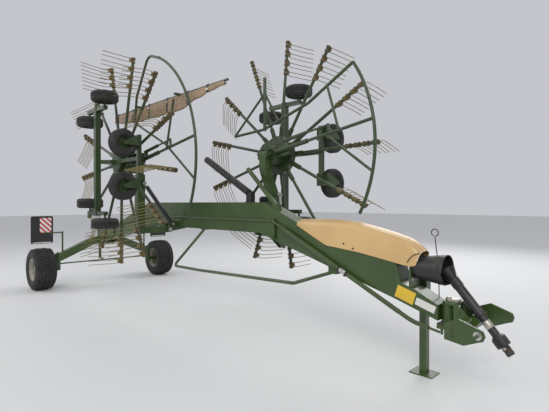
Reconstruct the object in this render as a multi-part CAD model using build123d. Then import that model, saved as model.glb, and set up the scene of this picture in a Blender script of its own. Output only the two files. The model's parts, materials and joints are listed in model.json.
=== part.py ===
from build123d import *
import math
import os

# Two-rotor side-delivery rotary rake, parked with both rotors folded up beside its beam.
# Millimetres. +X forward to the hitch, +Y to the machine's left, +Z up, floor at Z = 0.
# Lengths along X are measured from the rear axle, and the whole model is moved at the end
# so that its origin is on the floor below the middle of its length and width.

# Road wheels and rear axle
tyre_radius = 415
tyre_width = 380
track_half = 1310
rim_radius = 216
rim_width = 330
axle_stub_radius = 35
kingpin_inset = 310
kingpin_y = track_half - kingpin_inset
kingpin_radius = 25
kingpin_bottom = 520
kingpin_top = 700
kingpin_wall = 27
axle_crown_z = 1000
axle_depth = 150
axle_thick = 130
axle_shoulder_y = 300
axle_tip_depth = 10
axle_tip_width = 60
axle_tip_rise = 30
axle_shoulder_step = 40
knuckle_arm = 210
knuckle_arm_z = 492
plate_thick = 20
knuckle_radius = 50
knuckle_drop = 60
knuckle_stub_reach = 40
arm_half = 22
arm_reach = 25
arm_low = 12
arm_high = 8
ball_pin_radius = 12

# Beam and gooseneck
beam_half = 110
beam_top = 1745
beam_bottom = 1335
beam_knee_x = 5200
neck_end_x = 7560
neck_end_top = 785
neck_end_bottom = 640
tail_x = -70
tail_top = 1160
tail_depth = 170
column_boss_radius = 52
column_boss_length = 190
column_web_half = 40
column_web_from = 150
column_web_to = 30

# Headstock
head_x = 7620
head_pin_radius = 30
head_boss_radius = 68
head_boss_bottom = 620
head_boss_top = 795
head_plate = 25
head_cross_x = 7765
head_cross_depth = 80
head_cross_top = 690
link_pin_radius = 14
link_pin_length = 78
link_pin_x = 8010
link_pin_z = 665
link_arm_y = 380
link_arm_thick = 20
steer_arm = 160
head_pin_reach = 45
head_pad_radius = 58
head_pad_front = 7725
head_pad_half = 90
head_low_half = 110
head_low_rear = 70

# Parking stand
stand_x = 7300
stand_y = 170
stand_side = 72
stand_wall = 9
stand_top = 985
stand_sleeve_bottom = 650
stand_sleeve_top = 950
stand_web_top = 880
stand_web_bottom = 700
stand_web_half = 60
foot_length = 240
foot_width = 190
foot_thick = 12

# Drive line, hood and propeller shaft
drive_z = 1100
bearing_x = 7285
hood_half = 125
hood_wall = 6
hood_rest_x = (6300, 6340)
hood_rest_z = (1260, 1335)
cone_length = 314
cone_rear_radius = 105
cone_front_radius = 150
cone_wall = 5
stub_radius = 17.5
shaft_radius = 43
shield_radius = 50
shaft_length = 860
shaft_slope = 50
shaft_start_x = 7595
shaft_inner_radius = 36
shaft_joint_radius = 32
shaft_bell_radius = 58
yoke_bore_radius = 17.5
yoke_bore_length = 75
cradle_at = 420

# Steering linkage
rod_radius = 12
steer_tube_radius = 24
rod_y = -132
lever_half = 8
seat_gap = 0.3
relay_x = 5420
relay_pivot_z = 1300
relay_pin_z = 1505
relay_pin_radius = 15
relay_pad_half = 45
relay_pad_depth = 60
relay_pad_top = 1400
crank_x = -330
crank_top_z = 1182
rear_rod_end_z = 1215
crank_arm_y = -185
crank_low_arm = 120
track_rod_radius = 14
track_rod_top = 470

# Rotors: arm circle, hub, arms and tines
arm_count = 13
arm_circle = 1580
arm_radius = 21
hub_radius = 270
hub_bottom = -30
hub_top = 60
socket_radius = 32
socket_length = 150
rotor_axle_radius = 45
tine_rows = 4
tine_pitch = 125
tine_split = 56
tine_thick = 9
tine_drop = 490
tine_kink_drop = 118
tine_kink_out = 34
tine_lag = 62
holder_length = 84
holder_width = 44
holder_depth = 24
cam_middle_deg = 180
cam_half_deg = 80
cam_ramp_deg = 45
cam_turn_deg = 88

# Rotor chassis and its wheels
chassis_wheel_radius = 195
chassis_wheel_width = 160
chassis_wheel_hub = 62
ground_w = -498
stub_axle_radius = 15
tandem_x = -190
tandem_y = 790
tandem_base = 560
tandem_side = 150
caster_x = 690
caster_y = 300
caster_trail = 100
caster_pin_radius = 15
member_side = 55
member_top = -40

# Rotor gearbox and its tilt bearing
gearbox_radius = 165
gearbox_top = 250
tilt_w = 300
tilt_pin_radius = 25
head_radius = 44
lug_thick = 30
lug_gap = 120

# Swath guard over each rotor, its sliding arm and its cylinder
guard_w = 235
guard_tube = 19
guard_post_radius = 24
guard_collar = 5
guard_circle = 1670
guard_from_deg = -28
front_guard_to_deg = 34
rear_guard_to_deg = 64
guard_arm_deg = 9
guard_sleeve_radius = 30
guard_sleeve_length = 560
guard_barrel_start = 320
guard_barrel_end = 700
guard_barrel_radius = 24
guard_rod_radius = 13
guard_cylinder_offset = 105

# Swath curtain, rolled on its tube beside the rear rotor
curtain_w = 345
curtain_y = 900
curtain_from_x = -970
curtain_tube_to_x = 2200
curtain_thick = 46
curtain_tube_radius = 16

# The curtain's lower edge, as X and drop below its tube
curtain_hem = [
    (curtain_from_x, 110),
    (curtain_from_x + 720, 190),
    (curtain_from_x + 2120, 200),
    (curtain_from_x + 2470, 110),
    (curtain_tube_to_x - 50, 30),
]

# Booms: fold hinges low on the beam's sides; the rear boom is a sleeve with a sliding tube
fold_pin_radius = 30
fold_pin_half = 95
ear_reach = 40
ear_drop = 42
ear_under = 30
ear_step = 5
ear_rise = 110
front_rotor_x = 5120
front_rotor_y = 300
front_rotor_z = 2400
front_hinge_y = 184
front_hinge_z = 1295
front_boom_half = 56
front_boom_bend_z = 1762
front_boom_neck_z = 2190
front_boom_lean = 52
front_fold_deg = -126
rear_rotor_x = 2950
rear_rotor_y = -1000
rear_rotor_z = 2370
rear_hinge_y = -205
rear_hinge_z = 1295
rear_sleeve_bottom = 1240
rear_sleeve_top = 2190
rear_fold_deg = 90
rear_travel = 650
sleeve_side = 120
slide_side = 90
sleeve_gap = 0.5
sleeve_floor = 25
slide_engaged = 240
tongue_half = 48

# Fold cylinders in front of the booms, with their two pins as Y, Z points when folded
front_barrel_pin = (207, 1147)
front_rod_pin = (165, 1850)
rear_barrel_pin = (-200, 1390)
rear_rod_pin = (-690, 2050)
cylinder_offset = 135
barrel_radius = 32
barrel_end = 60
piston_rod_radius = 18
piston_end = 70
cylinder_pin_radius = 15
eye_radius = 27
barrel_eye_width = 66
rod_eye_width = 40
rod_boss_reach = 85
cheek_thick = 14

# Side guard tube, parked shaft guard, warning boards
side_tube_radius = 20
side_tube_bend = 50
side_tube_out = -450
parked_tube_radius = 50
parked_tube_top = (3800, 0, 2420)
parked_tube_foot = (4800, 0, 1880)
strut_radius = 30
strut_top = (4850, -60, 2209)
strut_foot = (5400, -60, 1700)
board_bottom = 915
board_height = 560
board_width = 420
board_y = track_half - 20
board_post_inset = 90
board_post_radius = 17
board_arm_radius = 14
board_post_top = 1150
board_arm_drop = 20
board_thick = 6

# Running clearances: radial for a pin in its bore, and between flat faces that turn
pin_gap = 0.05
face_gap = 0.5


def box(x, y, z):
    """A block from low and high X, Y and Z."""
    size = [high - low for low, high in (x, y, z)]
    middle = [(high + low) / 2 for low, high in (x, y, z)]
    return Pos(*middle) * Box(*size)


def bar(start, end, radius):
    """A round bar between two points."""
    line = Vector(*end) - Vector(*start)
    seat = Plane(origin=start, z_dir=line)
    return seat * Cylinder(radius, line.length, align=(Align.CENTER, Align.CENTER, Align.MIN))


def ring(start, end, radius, bore):
    """A round tube between two points."""
    return bar(start, end, radius) - bar(start, end, bore)


def bent_tube(points, radius, bend):
    """A round bar swept along straight runs joined by tangent arcs."""
    path = FilletPolyline(*points, radius=bend)
    section = Plane(origin=path @ 0, z_dir=path % 0) * Circle(radius)
    return sweep(section, path=path)


def side_plate(outline, y_low, y_high):
    """A plate whose outline is given as X, Z points, from one Y to another."""
    seat = Plane(origin=(0, y_high, 0), x_dir=(1, 0, 0), z_dir=(0, -1, 0))
    return extrude(seat * Polygon(*outline, align=None), amount=y_high - y_low, dir=seat.z_dir)


def cross_plate(outline, x_low, x_high):
    """A plate whose outline is given as Y, Z points, from one X to another."""
    seat = Plane(origin=(x_low, 0, 0), x_dir=(0, 1, 0), z_dir=(1, 0, 0))
    return extrude(seat * Polygon(*outline, align=None), amount=x_high - x_low, dir=seat.z_dir)


def wheel_profile(profile, axle_at):
    """A solid of revolution about a line along Y through a point; profile gives radius, Y."""
    seat = Plane(origin=axle_at, x_dir=(1, 0, 0), z_dir=(0, 0, 1))
    face = seat * Polygon(*profile, align=None)
    return revolve(face, axis=Axis(axle_at, (0, 1, 0)))


# Frame

# The top and bottom edges of the beam, as X, Z points from tail to neck
beam_outline = [
    (tail_x, tail_top - tail_depth),
    (tail_x, tail_top),
    (330, tail_top),
    (2150, beam_top),
    (beam_knee_x, beam_top),
    (6260, 1312),
    (7130, 1150),
    (7185, 945),
    (7320, 905),
    (neck_end_x, neck_end_top),
    (neck_end_x, neck_end_bottom),
    (7110, 780),
    (5560, 1215),
    (beam_knee_x - 60, beam_bottom),
    (2280, beam_bottom),
    (520, tail_top - tail_depth),
]


def main_beam():
    """Box beam that drops to the rear axle behind and to the headstock in front."""
    beam = side_plate(beam_outline, -beam_half, beam_half)
    # Headstock bearing at the neck's lower end
    beam += Pos(head_x, 0, head_boss_bottom) * Cylinder(
        head_boss_radius, head_boss_top - head_boss_bottom, align=(Align.CENTER, Align.CENTER, Align.MIN))
    beam -= bar((head_x, 0, 0), (head_x, 0, beam_top), head_pin_radius + pin_gap)
    # Steering column bearing behind the axle
    beam += bar((crank_x, 0, tail_top - column_boss_length), (crank_x, 0, tail_top), column_boss_radius)
    beam += box((crank_x, tail_x + 1), (-column_web_half, column_web_half),
                (tail_top - column_web_from, tail_top - column_web_to))
    beam -= bar((crank_x, 0, 0), (crank_x, 0, beam_top), fold_pin_radius + pin_gap)
    # Sleeve of the parking stand on the neck's left side
    outer = stand_side / 2 + stand_wall + sleeve_gap
    inner = stand_side / 2 + sleeve_gap
    sleeve = box((stand_x - outer, stand_x + outer), (stand_y - outer, stand_y + outer),
                 (stand_sleeve_bottom, stand_sleeve_top))
    sleeve += box((stand_x - stand_web_half, stand_x + stand_web_half), (beam_half - 1, stand_y - outer + 1),
                  (stand_web_bottom, stand_web_top))
    sleeve -= box((stand_x - inner, stand_x + inner), (stand_y - inner, stand_y + inner), (0, beam_top))
    beam += sleeve
    # Cross strap that carries the rear of the hood
    beam += box(hood_rest_x, (-hood_half + hood_wall, hood_half - hood_wall), hood_rest_z)
    # Relay lever pin on the beam's right side
    beam += box((relay_x - relay_pad_half, relay_x + relay_pad_half), (-beam_half, -beam_half + relay_pad_depth),
                (relay_pivot_z - relay_pad_half, relay_pad_top))
    beam += bar((relay_x, -beam_half + 1, relay_pivot_z), (relay_x, rod_y - 12, relay_pivot_z), relay_pin_radius)
    return beam


def across(x, half, point, radius):
    """A round bar along X through a Y, Z point, from half before X to half beyond it."""
    return bar((x - half, *point), (x + half, *point), radius)


def hinge_bracket(x, out, hinge, barrel_pin, cheek):
    """Ears and pin of a boom's fold hinge, and the cheeks and pin that hold its cylinder's barrel."""
    hinge_y, hinge_z = hinge
    tip = hinge_y + out * ear_reach
    ear = [(-out * beam_half, beam_bottom - ear_under), (-out * beam_half, beam_bottom + ear_step),
           (out * beam_half, beam_bottom + ear_rise), (tip, hinge_z + ear_reach), (tip, hinge_z - ear_drop)]
    bracket = across(x, fold_pin_half, hinge, fold_pin_radius)
    near = lug_gap / 2 + face_gap
    for low in (near, -near - lug_thick):
        bracket += cross_plate(ear, x + low, x + low + lug_thick)
    at = x + cylinder_offset
    near = barrel_eye_width / 2 + face_gap
    for low in (near, -near - cheek_thick):
        bracket += cross_plate(cheek, at + low, at + low + cheek_thick)
    bracket += across(at, near + cheek_thick + 4, barrel_pin, cylinder_pin_radius)
    return bracket - side_plate(beam_outline, -beam_half, beam_half)


def axle_beam():
    """Cranked rear axle with a kingpin boss at each end."""
    low = axle_crown_z - axle_depth
    tip_top, tip_bottom = kingpin_top - axle_tip_depth, kingpin_bottom + axle_tip_rise
    tail_bottom = tail_top - tail_depth
    outline = [
        (-axle_shoulder_y, axle_crown_z), (axle_shoulder_y, axle_crown_z),
        (kingpin_y, tip_top), (kingpin_y, tip_bottom),
        (kingpin_y - axle_tip_width, tip_bottom), (axle_shoulder_y - axle_shoulder_step, low),
        (-axle_shoulder_y + axle_shoulder_step, low), (-kingpin_y + axle_tip_width, tip_bottom),
        (-kingpin_y, tip_bottom), (-kingpin_y, tip_top),
    ]
    axle = cross_plate(outline, -axle_thick / 2, axle_thick / 2)
    axle -= box((tail_x, 2000), (-beam_half, beam_half), (tail_bottom, beam_top))
    for side in (-1, 1):
        y = side * kingpin_y
        axle += bar((0, y, kingpin_bottom), (0, y, kingpin_top), kingpin_radius + kingpin_wall)
        axle -= bar((0, y, 0), (0, y, beam_top), kingpin_radius + pin_gap)
        # Cheek plates that clamp the axle to the beam's tail
        cheek = side_plate([(-60, low - 15), (90, low - 15), (700, 1080), (700, 1230), (420, 1150), (-60, 1120)],
                           min(side * beam_half, side * (beam_half + plate_thick)),
                           max(side * beam_half, side * (beam_half + plate_thick)))
        axle += cheek
        # Post and arm of the warning board
        post_y = side * (kingpin_y - board_post_inset)
        arm_z = board_post_top - board_arm_drop
        axle += bar((0, post_y, kingpin_top - 40), (0, post_y, board_post_top), board_post_radius)
        axle += bar((0, post_y, arm_z), (0, side * board_y, arm_z), board_arm_radius)
    return axle


def hood():
    """Pressed cover over the drive line, open below."""
    outer = [(5720, 1530), (6160, 1235), (7270, 1090), (7395, 1285), (7240, 1390), (6900, 1490), (6590, 1545)]
    inner = [(5760, 1515), (6100, 1100), (7270, 900), (7384, 1285), (7236, 1384), (6898, 1484), (6590, 1539)]
    cover = side_plate(outer, -hood_half, hood_half)
    cover -= side_plate(inner, -hood_half + hood_wall, hood_half - hood_wall)
    return cover - side_plate(beam_outline, -beam_half - face_gap, beam_half + face_gap)


def drive_bearing():
    """Bearing plate, input stub and guard cone at the front of the drive line."""
    inner = hood_half - hood_wall
    bearing = box((bearing_x - 10, bearing_x + 10), (-inner, inner), (895, 1240))
    bearing += bar((bearing_x, 0, drive_z), (bearing_x + 60, 0, drive_z), 62)
    bearing += bar((bearing_x, 0, drive_z), (shaft_start_x - 60, 0, drive_z), stub_radius)
    cone_seat = Plane(origin=(bearing_x + 10, 0, drive_z), z_dir=(1, 0, 0))
    bearing -= side_plate(beam_outline, -beam_half, beam_half)
    wall = Align.CENTER, Align.CENTER, Align.MIN
    cone = cone_seat * Cone(cone_rear_radius, cone_front_radius, cone_length, align=wall)
    cone -= cone_seat * Pos(0, 0, 12) * Cone(
        cone_rear_radius - cone_wall, cone_front_radius - cone_wall, cone_length - 12 + 0.1, align=wall)
    return bearing + cone


def side_guard():
    """Bent tube that bulges to the right of the beam, between its underside and the neck."""
    y = side_tube_out
    points = [(3840, -beam_half + 35, beam_bottom - 6), (3560, y, 765), (4250, y, 772), (6060, y, 832),
              (6330, -beam_half + 55, 945)]
    tube = bent_tube(points, side_tube_radius, side_tube_bend)
    tube += box((3770, 3910), (-beam_half, -10), (beam_bottom - 12, beam_bottom))
    tube += box((6290, 6400), (-beam_half, -10), (930, 1040))
    return tube - side_plate(beam_outline, -beam_half, beam_half)


def parked_tube():
    """Thick round tube that stands at a slant on the beam behind the front rotor."""
    tube = bar(parked_tube_top, parked_tube_foot, parked_tube_radius)
    x, y, z = parked_tube_foot
    return tube + box((x - 20, x + 90), (y - 35, y + 35), (beam_top, z + 20))


def beam_strut():
    """Inclined round strut that stands on the beam's knee beside the front boom."""
    strut = bar(strut_top, strut_foot, strut_radius)
    x, y, z = strut_foot
    strut += box((x - 45, x + 70), (y - 34, y + 34), (1600, z + 15))
    return strut - side_plate(beam_outline, -beam_half, beam_half)


def warning_boards():
    """Blank striped boards above the road wheels, on the axle's arms."""
    boards = []
    for side in (-1, 1):
        y = side * board_y
        boards.append(box((-board_arm_radius - board_thick, -board_arm_radius), (y - board_width / 2, y + board_width / 2),
                          (board_bottom, board_bottom + board_height)))
    return Compound(children=boards)


# Headstock, stand and propeller shaft

def headstock():
    """Swivelling headstock with its pin, lower-link arms and pins, and the shaft's cradle."""
    reach = head_cross_x + head_cross_depth
    seat_z = head_boss_top + face_gap
    top = box((head_x, head_pad_front), (-head_pad_half, head_pad_half), (seat_z, seat_z + head_plate))
    top += bar((head_x, 0, seat_z), (head_x, 0, seat_z + head_plate), head_pad_radius)
    low = box((head_x - head_low_rear, head_cross_x + 1), (-head_low_half, head_low_half),
              (head_boss_bottom - face_gap - head_plate, head_boss_bottom - face_gap))
    body = top + low
    body += bar((head_x, 0, head_boss_bottom - head_pin_reach), (head_x, 0, head_boss_top + head_pin_reach),
                head_pin_radius)
    body += box((head_cross_x, reach), (-link_arm_y - 1, link_arm_y + 1),
                (head_boss_bottom - face_gap - head_plate, head_cross_top))
    for side in (-1, 1):
        inner = min(side * 70, side * 90)
        body += side_plate([(7695, head_boss_bottom - 1), (reach, head_boss_bottom - 1), (reach, head_cross_top),
                            (7725, head_boss_top + 20), (7695, head_boss_top + 20)], inner, inner + 20)
        near = min(side * link_arm_y, side * (link_arm_y + link_arm_thick))
        body += side_plate([(head_cross_x - 25, 580), (7900, 560), (link_pin_x, link_pin_z - 55),
                            (link_pin_x + 40, link_pin_z - 40), (link_pin_x + 55, link_pin_z),
                            (link_pin_x + 40, link_pin_z + 40), (link_pin_x, link_pin_z + 55),
                            (7860, 770), (head_cross_x - 25, 720)], near, near + link_arm_thick)
        outer = side * (link_arm_y + link_arm_thick)
        body += bar((link_pin_x, outer, link_pin_z), (link_pin_x, outer + side * link_pin_length, link_pin_z),
                    link_pin_radius)
    # Steering arm to the right
    body += box((head_x - 35, head_x + 35), (-steer_arm - 35, -100),
                (head_boss_bottom - face_gap - head_plate, head_boss_bottom - face_gap))
    body += bar((head_x, -steer_arm, 540), (head_x, -steer_arm, 600), 12)
    # Cradle below the propeller shaft
    x, _, z = shaft_point(cradle_at)
    drop = shaft_radius / math.cos(math.radians(shaft_slope)) + 0.3
    cradle = side_plate([(reach - 20, 600), (x + 20, z - drop - 60), (x + 45, z - drop - 25), (x + 12, z - drop + 18),
                         (x - 30, z - drop + 20), (reach - 20, 640)], -22, 22)
    cradle -= bar(shaft_point(0), shaft_point(shaft_length), shaft_radius + 0.3)
    return body + cradle


def stand_leg():
    """Square leg with a foot plate."""
    half = stand_side / 2
    leg = box((stand_x - half, stand_x + half), (stand_y - half, stand_y + half), (foot_thick - 1, stand_top))
    foot = box((stand_x - foot_length / 2, stand_x + foot_length / 2),
               (stand_y - foot_width / 2, stand_y + foot_width / 2), (0, foot_thick))
    return leg + foot


def shaft_point(along):
    """A point on the propeller shaft's axis, at a distance from its upper joint."""
    slope = math.radians(shaft_slope)
    return (shaft_start_x + along * math.cos(slope), 0, drive_z - along * math.sin(slope))


def propeller_shaft():
    """Guarded telescopic shaft, hanging forward from the cone into its cradle."""
    # Columns: distance along the shaft at the start and end, radius
    guard = [
        (90, 180, shield_radius), (160, 480, shaft_radius), (470, shaft_length - 160, shaft_inner_radius),
        (shaft_length - 170, shaft_length - 90, shaft_bell_radius),
        (shaft_length - 100, shaft_length, shaft_inner_radius),
    ]
    shaft = bar(shaft_point(20), shaft_point(110), shaft_joint_radius)
    for start, end, radius in guard:
        shaft += bar(shaft_point(start), shaft_point(end), radius)
    return shaft - bar(shaft_point(shaft_length - yoke_bore_length), shaft_point(shaft_length + 1), yoke_bore_radius)


shaft_end = Vector(*shaft_point(shaft_length))
front_end_x = shaft_end.X + shaft_inner_radius * math.sin(math.radians(shaft_slope))
rear_end_x = -tyre_radius
middle_x = (front_end_x + rear_end_x) / 2


# Steering linkage

def relay_lever():
    """Upright lever on the beam's side, between the two long rods."""
    y_low = rod_y + rod_radius - 2
    lever = side_plate([(relay_x - 32, relay_pivot_z - 30), (relay_x + 32, relay_pivot_z - 30),
                        (relay_x + 24, relay_pin_z + 28), (relay_x - 24, relay_pin_z + 28)],
                       rod_y - lever_half, y_low)
    lever -= bar((relay_x, 0, relay_pivot_z), (relay_x, -400, relay_pivot_z), relay_pin_radius + pin_gap)
    return lever


def front_steer_rod():
    """Rod from the headstock's steering arm up beside the neck to the relay lever."""
    top = Vector(relay_x, rod_y - lever_half - seat_gap - rod_radius, relay_pin_z)
    knee = Vector(7330, rod_y - 24, 600)
    rod = bent_tube([top, knee, Vector(head_x - 18, -steer_arm - 2, 555)], rod_radius, 120)
    return rod + bar(top + (knee - top) * 0.1, top + (knee - top) * 0.93, steer_tube_radius)


def rear_steer_rod():
    """Rod from the relay lever back beside the beam to the steering column's crank."""
    return bent_tube([(relay_x - 40, rod_y, relay_pin_z), (2350, rod_y, relay_pin_z),
                      (420, rod_y - 24, rear_rod_end_z + 20), (crank_x - 15, crank_arm_y, rear_rod_end_z)],
                     rod_radius, 150)


def steer_crank():
    """Steering column behind the axle, with an upper and a lower arm."""
    column = bar((crank_x, 0, knuckle_arm_z - 5), (crank_x, 0, crank_top_z), fold_pin_radius)
    column += box((crank_x - 30, crank_x + 30), (crank_arm_y - 25, 30), (tail_top + face_gap, crank_top_z))
    column += bar((crank_x, crank_arm_y, tail_top + 5),
                  (crank_x, crank_arm_y, rear_rod_end_z - rod_radius - face_gap), 12)
    column += box((crank_x - 30, crank_x + crank_low_arm + 25), (-25, 25), (knuckle_arm_z - 12, knuckle_arm_z + 8))
    tip = crank_x + crank_low_arm
    return column + bar((tip, 0, knuckle_arm_z), (tip, 0, track_rod_top + face_gap), 12)


def track_rod():
    """Rod between the two knuckle arms, behind the axle."""
    z = track_rod_top - track_rod_radius
    half = kingpin_y + 15
    return bar((-knuckle_arm, -half, z), (-knuckle_arm, half, z), track_rod_radius)


def knuckle(side):
    """Kingpin, stub axle and steering arm of one road wheel."""
    y = side * kingpin_y
    upright = bar((0, y, tyre_radius - knuckle_drop), (0, y, kingpin_bottom - face_gap), knuckle_radius)
    upright += bar((0, y, kingpin_bottom - 5), (0, y, kingpin_top + 12), kingpin_radius)
    stub_end = side * (track_half + knuckle_stub_reach)
    upright += bar((0, y, tyre_radius), (0, stub_end, tyre_radius), axle_stub_radius)
    arm = box((-knuckle_arm - arm_reach, 0), (y - arm_half, y + arm_half),
              (knuckle_arm_z - arm_low, knuckle_arm_z + arm_high))
    arm += bar((-knuckle_arm, y, knuckle_arm_z), (-knuckle_arm, y, track_rod_top + face_gap), ball_pin_radius)
    return upright + arm


def road_tyre(side):
    """Wide flotation tyre, round at the shoulders."""
    half = tyre_width / 2
    profile = [(rim_radius, -half + 35), (rim_radius + 75, -half), (tyre_radius - 50, -half + 6),
               (tyre_radius - 12, -half + 45), (tyre_radius, -half + 110), (tyre_radius, half - 110),
               (tyre_radius - 12, half - 45), (tyre_radius - 50, half - 6), (rim_radius + 75, half),
               (rim_radius, half - 35)]
    return wheel_profile(profile, (0, side * track_half, tyre_radius))


def road_rim(side):
    """Rim with a dished disc and a hub that runs on the stub axle."""
    half = rim_width / 2
    centre = (0, side * track_half, tyre_radius)
    out = side * half
    bore = axle_stub_radius + pin_gap
    profile = [(rim_radius, -half), (rim_radius, half), (rim_radius - 14, half), (rim_radius - 40, half - 50),
               (rim_radius - 40, -half + 50), (rim_radius - 14, -half)]
    barrel = wheel_profile(profile, centre)
    disc = [(rim_radius - 38, out - side * 90), (rim_radius - 38, out - side * 110), (120, out - side * 150),
            (bore, out - side * 150), (bore, out - side * 60), (75, out - side * 60), (85, out - side * 130),
            (125, out - side * 130)]
    return barrel + wheel_profile(disc, centre)


# Rotor, in its own frame: X forward, Y to the left and Z up when it works, arms at Z = 0

def spider(first_deg):
    """Hub with its ring of radial arms."""
    drum = Pos(0, 0, hub_bottom) * Cylinder(hub_radius, hub_top - hub_bottom, align=(
        Align.CENTER, Align.CENTER, Align.MIN))
    for turn in range(arm_count):
        angle = math.radians(360 / arm_count * turn + first_deg)
        out = Vector(math.cos(angle), math.sin(angle), 0)
        drum += bar(out * (hub_radius - 40), out * (hub_radius + socket_length), socket_radius)
        drum += bar(out * (hub_radius + socket_length - 10), out * arm_circle, arm_radius)
    return drum - bar((0, 0, -400), (0, 0, 400), rotor_axle_radius + pin_gap)


def strip(points, width):
    """A flat strip of even width along a bent line of X, Y points."""
    half = width / 2
    left, right = [], []
    for i, (x, y) in enumerate(points):
        before = Vector(*points[max(i - 1, 0)])
        after = Vector(*points[min(i + 1, len(points) - 1)])
        along = (after - before).normalized()
        left.append((x - along.Y * half, y + along.X * half))
        right.append((x + along.Y * half, y - along.X * half))
    return Polygon(*left, *reversed(right), align=None)


def double_tine(sense):
    """Holder and two kinked prongs below the arm at the origin; the arm runs along X."""
    top = -arm_radius - 0.3
    holder = box((-holder_length / 2, holder_length / 2), (-holder_width / 2, holder_width / 2),
                 (top - holder_depth, top))
    line = [(0, top - holder_depth + 2), (sense * tine_kink_out, -tine_kink_drop), (-sense * tine_lag, -tine_drop)]
    for offset in (-tine_split / 2, tine_split / 2):
        seat = Plane(origin=(offset - tine_thick / 2, 0, 0), x_dir=(0, 1, 0), z_dir=(1, 0, 0))
        holder += extrude(seat * strip(line, tine_thick), amount=tine_thick, dir=seat.z_dir)
    return holder


def cam_turn(angle_deg):
    """How far the cam has turned an arm's tines up at an angle around the hub, in degrees."""
    off = abs((angle_deg - cam_middle_deg + 180) % 360 - 180)
    return cam_turn_deg * max(0, min(1, (cam_half_deg - off) / cam_ramp_deg))


def tines(sense, first_deg):
    """Rows of double tines at every arm's outer end, turned about the arm as the cam has it."""
    pattern = double_tine(sense)
    pieces = []
    for turn in range(arm_count):
        angle = 360 / arm_count * turn + first_deg
        for row in range(tine_rows):
            radius = arm_circle - 45 - row * tine_pitch
            pieces.append(Rot(0, 0, angle) * Pos(radius, 0, 0) * Rot(sense * cam_turn(angle), 0, 0) * pattern)
    return Compound(children=pieces)


def gearbox():
    """Rotor gearbox, its fixed axle through the hub, and the lugs of the tilt bearing."""
    case = Pos(0, 0, hub_top + face_gap) * Cylinder(
        gearbox_radius, gearbox_top - hub_top - face_gap, align=(Align.CENTER, Align.CENTER, Align.MIN))
    case += box((-210, 0), (-60, 60), (hub_top + 30, gearbox_top - 20))
    case += bar((0, 0, member_top - member_side), (0, 0, gearbox_top), rotor_axle_radius)
    for end in (-1, 1):
        middle = end * (lug_gap / 2 + lug_thick / 2 + face_gap)
        case += cross_plate([(-70, gearbox_top - 5), (70, gearbox_top - 5), (42, tilt_w + 38), (-42, tilt_w + 38)],
                            middle - lug_thick / 2, middle + lug_thick / 2)
    case += bar((-lug_gap, 0, tilt_w), (lug_gap, 0, tilt_w), tilt_pin_radius)
    return case


def chassis():
    """Frame below the rotor that carries two tandem rockers and two casters."""
    low = member_top - member_side
    half = member_side / 2
    axle_w = ground_w + chassis_wheel_radius
    frame = bar((0, 0, low), (0, 0, member_top), 150)
    frame += box((tandem_x - half, caster_x + half), (-half, half), (low, member_top))
    frame += box((caster_x - half, caster_x + half), (-caster_y - 38, caster_y + 38), (low, member_top))
    frame += side_plate([(tandem_x - 40, axle_w + 30), (tandem_x + 40, axle_w + 30), (30, low + 2),
                         (tandem_x - 40, low + 2)], -half, half)
    frame += box((tandem_x - 40, tandem_x + 40), (-tandem_y - 40, tandem_y + 40), (axle_w - 40, axle_w + 40))
    frame -= bar((0, 0, -400), (0, 0, 400), rotor_axle_radius)
    for side in (-1, 1):
        y = side * tandem_y
        base = tandem_base / 2
        frame += box((tandem_x - base - 32, tandem_x + base + 32), (y - 28, y + 28), (axle_w - 32, axle_w + 32))
        reach = tandem_side + chassis_wheel_width / 2
        frame += bar((tandem_x + base, y, axle_w), (tandem_x + base, y + side * reach, axle_w), stub_axle_radius)
        frame += bar((tandem_x - base, y, axle_w), (tandem_x - base, y - side * reach, axle_w), stub_axle_radius)
        frame -= bar((caster_x, side * caster_y, low - 1), (caster_x, side * caster_y, member_top + 1),
                     caster_pin_radius + pin_gap)
    return frame


def small_wheel():
    """Small balloon wheel about the Y axis, with a bore for its stub axle."""
    half = chassis_wheel_width / 2
    bore = stub_axle_radius + pin_gap
    outer = chassis_wheel_radius
    profile = [(bore, -half + 20), (chassis_wheel_hub, -half + 20), (outer - 70, -half + 4), (outer - 22, -half + 4),
               (outer, -half + 38), (outer, half - 38), (outer - 22, half - 4), (outer - 70, half - 4),
               (chassis_wheel_hub, half - 20), (bore, half - 20)]
    return wheel_profile(profile, (0, 0, 0))


def caster_fork():
    """Swivel pin, crown and two legs; the wheel trails along -X from the pin at the origin."""
    low = member_top - member_side
    axle_w = ground_w + chassis_wheel_radius
    side = chassis_wheel_width / 2 + 8
    fork = bar((0, 0, low - 20), (0, 0, member_top + 8), caster_pin_radius)
    fork += box((-caster_trail - 40, 30), (-side - 14, side + 14), (low - face_gap - 12, low - face_gap))
    for sign in (-1, 1):
        inner = min(sign * side, sign * (side + 14))
        fork += side_plate([(-caster_trail - 22, axle_w - 22), (-caster_trail + 22, axle_w - 22), (25, low - 8),
                            (-caster_trail - 35, low - 8)], inner, inner + 14)
    fork += bar((-caster_trail, -side - 14, axle_w), (-caster_trail, side + 14, axle_w), stub_axle_radius)
    return fork


def guard_out():
    """Unit vector of the guard's sliding arm, in the rotor's own frame, outward side +Y."""
    angle = math.radians(guard_arm_deg)
    return Vector(math.cos(angle), math.sin(angle), 0)


def guard_point(along, across):
    """A point in the guard's plane, measured along its sliding arm and to its left."""
    out = guard_out()
    return out * along + Vector(-out.Y, out.X, 0) * across + Vector(0, 0, guard_w)


def guard_rim(angle_deg):
    """A point on the guard's bow."""
    angle = math.radians(angle_deg)
    return Vector(guard_circle * math.cos(angle), guard_circle * math.sin(angle), guard_w)


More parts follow.
